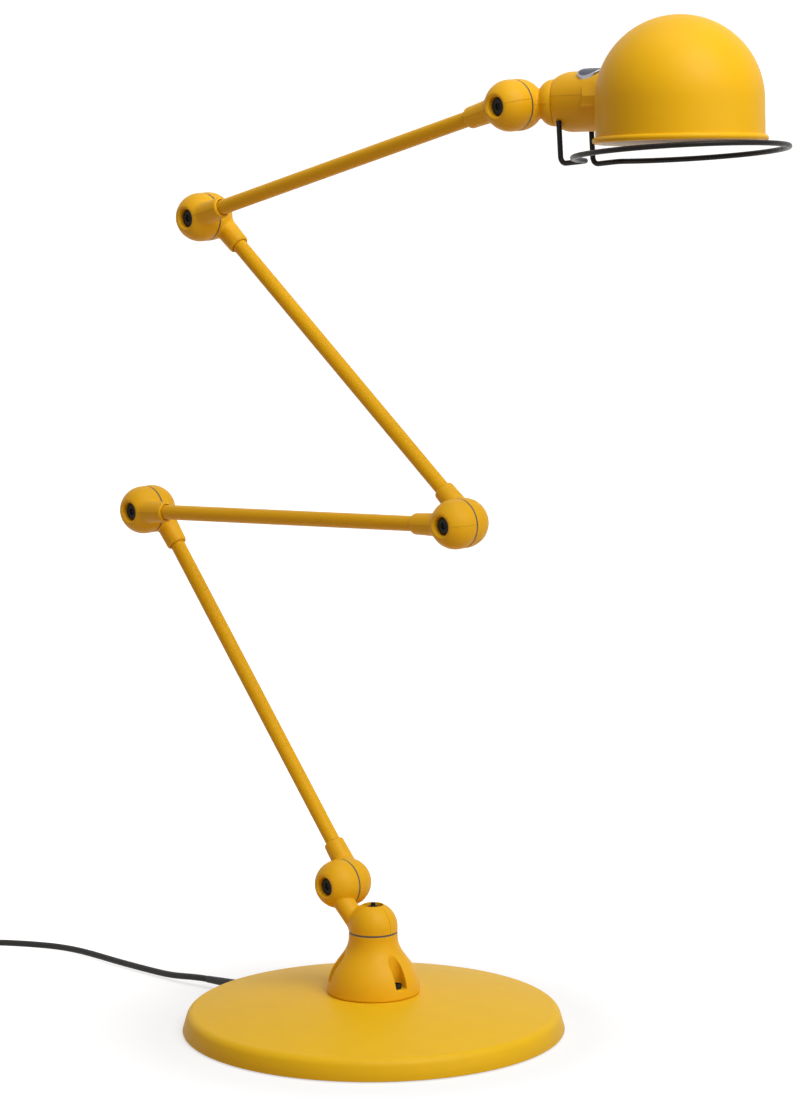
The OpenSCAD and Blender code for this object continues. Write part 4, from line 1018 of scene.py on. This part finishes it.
# The ridges take the darker yellow, which is painted shade along the parting lines
arm_ridges = joined([ridge(arm_half, round_the_back()), ridge(arm_half, along_boss())])
for arm in ARMS:
    lines = joined([placed(arm_ridges, m) for m in arm_ends(arm)])
    piece(f"arm_{arm}_parting_lines", *lines, line_shadow_paint, f"arm_{arm}", "alloy_paint")
neck_line = placed(ridge(neck, along_neck()), at_neck)
housing_line = placed(ridge(housing, along_housing()), at_housing)
piece("swivel_parting_line", *ridge(dome, over_dome()), line_shadow_paint, "swivel", "alloy_paint")
piece("neck_parting_line", *neck_line, line_shadow_paint, "neck", "alloy_paint")
piece("housing_parting_line", *housing_line, line_shadow_paint, "head", "alloy_paint")

# Fasteners
BOLT_SIDES = 72
SHANK_CUT = 0.6
HEAD_CUT = 0.25
HEAD_ROUND = 0.55
HEAD_ROUND_MID = 0.16
DRIVE_RIM = 0.45
DRIVE_CUT = 0.3
DRIVE_END_R = 0.4
DRIVE_END_DEEP = 0.5
NUT_CUT = 0.35
NUT_FACE = 0.97
THREAD_CUT = 0.5
JOINT_BOLT_R = 3.0
JOINT_SPRING_H = 1.5
JOINT_NUT_R = 5.45
JOINT_NUT_H = 3.6
BOLT_TIP = 0.8
JOINT_BOLT_LEN = 2 * SEAT_Y + FIT + JOINT_SPRING_H + JOINT_NUT_H + BOLT_TIP
HEAD_SPIN = 17
SWIVEL_NUT_R = 4.2
SWIVEL_BOLT_R = 2.5
STUD_TIP_R = 1.6
STUD_TIP_CUT = 0.4


def socket_bolt(head_r, head_h, drive_r, drive_deep, shank_r, shank_len):
    """Cap screw along Z: the shank's tip is lowest and the head is on top, its seat at zero."""
    floor = head_h - drive_deep
    turned = ((shank_r - SHANK_CUT, -shank_len), (shank_r, -shank_len + SHANK_CUT), (shank_r, 0),
              (head_r - HEAD_CUT, 0), (head_r, HEAD_CUT), (head_r, head_h - HEAD_ROUND),
              (head_r - HEAD_ROUND_MID, head_h - HEAD_ROUND_MID), (head_r - HEAD_ROUND, head_h),
              (drive_r + DRIVE_RIM, head_h))
    rings = [circle(r, z, BOLT_SIDES) for r, z in turned]
    rings += [hexagon(drive_r, z, BOLT_SIDES) for z in (head_h - DRIVE_CUT, floor)]
    return loft(rings + [circle(DRIVE_END_R, floor - DRIVE_END_DEEP, BOLT_SIDES)])


def hex_nut(r, h, shank_r):
    """Nut along Z with chamfered corners and a chamfered thread."""
    face_r = NUT_FACE * r * math.cos(math.pi / 6)
    return loft([
        circle(face_r, 0, BOLT_SIDES), hexagon(r, NUT_CUT, BOLT_SIDES), hexagon(r, h - NUT_CUT, BOLT_SIDES),
        circle(face_r, h, BOLT_SIDES), circle(shank_r + THREAD_CUT, h, BOLT_SIDES),
        circle(shank_r, h - THREAD_CUT, BOLT_SIDES)])


def black_fastener(node, made, body):
    piece(f"{node}_detailed", *made, black_steel, body, "black_steel", [node], sharp=25)


joint_bolt = socket_bolt(head_r=5.2, head_h=5.3, drive_r=2.6, drive_deep=1.4, shank_r=JOINT_BOLT_R,
                         shank_len=JOINT_BOLT_LEN)
joint_nut = hex_nut(JOINT_NUT_R, JOINT_NUT_H, JOINT_BOLT_R)
bolt_seat = shift(0, -SEAT_Y, 0) @ turn("x", 90)
nut_seat = shift(0, SEAT_Y + FIT + JOINT_SPRING_H, 0) @ ALONG_Y
for name, body, ends in (("joint_1_{}", "swivel", (1,)), ("arm_2_{}s", "arm_2", (2, 3)),
                         ("arm_4_{}s", "arm_4", (4, 5))):
    for kind, made, seat in (("bolt", joint_bolt, bolt_seat), ("nut", joint_nut, nut_seat)):
        parts = [placed(made, at_joint(end, HEAD_SPIN * end) @ seat) for end in ends]
        black_fastener(name.format(kind), joined(parts), body)

cap_screw = socket_bolt(head_r=3.2, head_h=3.4, drive_r=1.8, drive_deep=1.7, shank_r=2.0, shank_len=15.9)
screw_seat = shift(SCREW_RING, 0, FOOT_Z + SLOT_FLOOR)
parts = [placed(cap_screw, turn("z", SLOT_TURN + 360 / POCKETS * i) @ screw_seat) for i in range(POCKETS)]
black_fastener("pedestal_screws", joined(parts), "base")

(_, _, nut_low), (_, _, nut_high) = np.array(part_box("swivel_nut")) / MM
(_, _, bolt_low), (_, _, bolt_high) = np.array(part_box("swivel_bolt")) / MM
swivel_nut = placed(hex_nut(SWIVEL_NUT_R, nut_high - nut_low, SWIVEL_BOLT_R), shift(0, 0, nut_low))
black_fastener("swivel_nut", swivel_nut, "base")
stud = lathe([(SWIVEL_BOLT_R, bolt_low), (SWIVEL_BOLT_R, nut_high + 0.2), (STUD_TIP_R, nut_high + 0.8),
              (STUD_TIP_R, bolt_high - STUD_TIP_CUT), (STUD_TIP_R - STUD_TIP_CUT, bolt_high)], 48)
black_fastener("swivel_bolt", stud, "base")

# Every CAD solid that still shows gets a finish of its own
KEPT = {
    "base_felt": felt, "swivel_lower_disc": disc_grey, "swivel_upper_disc": disc_grey,
    "swivel_spring": black_steel, "cord_tie": black_plastic, "switch_base": black_plastic,
    "switch_cover": black_plastic, "switch_rocker": black_plastic, "plug_body": black_plastic,
    "plug_pins": nickel, "joint_1_disc": disc_grey, "joint_1_spring": spring_steel, "neck_disc": disc_grey,
    "neck_tube": nickel, "shade_ring": white_ceramic, "lampholder": white_ceramic, "bulb_cap": brass,
    "bulb_glass": opal,
}
for arm in ARMS:
    KEPT.update({f"arm_{arm}_discs": disc_grey, f"arm_{arm}_lead": cord_black})
    if arm % 2 == 0:
        KEPT[f"arm_{arm}_springs"] = spring_steel
for name, mat in KEPT.items():
    nodes[name].data.materials.clear()
    nodes[name].data.materials.append(mat)

# Floor, background and light, in metres
FLOOR_HALF = 20.0
FLOOR_Z = -0.0003
FLOOR_GLOW = 0.62
GLOW_NEAR = 0.145
GLOW_FAR = 0.34
FLOOR_SHADE = (0.41, 0.44, 0.47)
FLOOR_BOUNCE = (0.52, 0.41, 0.32)
AMBIENT = 0.27
AMBIENT_COLOUR = (1.0, 0.75, 0.56)
LIT_POINT = np.array([0, 0, 0.33])
# The photograph's right and the way to its camera, level with the floor
RIGHT = np.array([0.7095, 0.7047, 0])
TOWARD = np.array([0.7047, -0.7095, 0])
UP = np.array([0, 0, 1.0])


def seen_rays(tree):
    """1 for rays that show the background: straight to the camera, mirrored or through glass."""
    path = tree.nodes.new("ShaderNodeLightPath")
    value = path.outputs["Is Camera Ray"]
    for name in ("Is Glossy Ray", "Is Transmission Ray"):
        node = tree.nodes.new("ShaderNodeMath")
        node.operation = "MAXIMUM"
        tree.links.new(value, node.inputs[0])
        tree.links.new(path.outputs[name], node.inputs[1])
        value = node.outputs[0]
    return value


def make_floor():
    """Pale floor that keeps the lamp's shadow and glows to white further out."""
    mesh = bpy.data.meshes.new("floor")
    corners = [(x * FLOOR_HALF, y * FLOOR_HALF, FLOOR_Z) for x, y in ((-1, -1), (1, -1), (1, 1), (-1, 1))]
    mesh.from_pydata(corners, [], [(0, 1, 2, 3)])
    floor = bpy.data.objects.new("floor", mesh)
    scene.collection.objects.link(floor)
    mat = bpy.data.materials.new("floor")
    mat.use_nodes = True
    tree = mat.node_tree
    tree.nodes.remove(tree.nodes["Principled BSDF"])
    plain = tree.nodes.new("ShaderNodeBsdfDiffuse")
    plain.inputs["Color"].default_value = (*FLOOR_BOUNCE, 1)
    shaded = tree.nodes.new("ShaderNodeBsdfDiffuse")
    shaded.inputs["Color"].default_value = (*FLOOR_SHADE, 1)
    glow = tree.nodes.new("ShaderNodeEmission")
    glow.inputs["Strength"].default_value = 1.0
    coords = tree.nodes.new("ShaderNodeTexCoord")
    reach = tree.nodes.new("ShaderNodeVectorMath")
    reach.operation = "LENGTH"
    tree.links.new(coords.outputs["Object"], reach.inputs[0])
    tree.links.new(ranged(tree, reach.outputs["Value"], FLOOR_GLOW, 1.0, GLOW_NEAR, GLOW_FAR),
                   glow.inputs["Color"])
    soft = tree.nodes.new("ShaderNodeAddShader")
    tree.links.new(shaded.outputs[0], soft.inputs[0])
    tree.links.new(glow.outputs[0], soft.inputs[1])
    choose = tree.nodes.new("ShaderNodeMixShader")
    tree.links.new(seen_rays(tree), choose.inputs["Fac"])
    tree.links.new(plain.outputs[0], choose.inputs[1])
    tree.links.new(soft.outputs[0], choose.inputs[2])
    tree.links.new(choose.outputs[0], tree.nodes["Material Output"].inputs["Surface"])
    mesh.materials.append(mat)


def make_world():
    """Warm dim fill, and white where the background shows."""
    world = bpy.data.worlds.new("studio")
    scene.world = world
    world.use_nodes = True
    tree = world.node_tree
    fill = tree.nodes["Background"]
    fill.inputs["Color"].default_value = (*AMBIENT_COLOUR, 1)
    fill.inputs["Strength"].default_value = AMBIENT
    seen = tree.nodes.new("ShaderNodeBackground")
    seen.inputs["Color"].default_value = (1, 1, 1, 1)
    choose = tree.nodes.new("ShaderNodeMixShader")
    tree.links.new(seen_rays(tree), choose.inputs["Fac"])
    tree.links.new(fill.outputs[0], choose.inputs[1])
    tree.links.new(seen.outputs[0], choose.inputs[2])
    tree.links.new(choose.outputs[0], tree.nodes["World Output"].inputs["Surface"])


def make_light(name, right, up, toward, size, watts):
    """Square softbox at a place given from the lit point, facing it."""
    data = bpy.data.lights.new(name, "AREA")
    data.shape = "SQUARE"
    data.size = size
    data.energy = watts
    light = bpy.data.objects.new(name, data)
    place = LIT_POINT + right * RIGHT + up * UP + toward * TOWARD
    back = (place - LIT_POINT) / np.linalg.norm(place - LIT_POINT)
    side = np.cross(UP if abs(back[2]) < 0.95 else TOWARD, back)
    side /= np.linalg.norm(side)
    m = np.eye(4)
    m[:3, 0] = side
    m[:3, 1] = np.cross(back, side)
    m[:3, 2] = back
    m[:3, 3] = place
    light.matrix_world = Matrix(m.tolist())
    scene.collection.objects.link(light)


make_floor()
make_world()
make_light("softbox_key", right=1.1, up=2.0, toward=1.4, size=1.75, watts=47.5)
make_light("softbox_top", right=0.1, up=2.7, toward=0.0, size=2.0, watts=15.0)
make_light("softbox_side", right=2.4, up=0.2, toward=1.5, size=1.7, watts=11.0)
scene.view_settings.view_transform = "Standard"
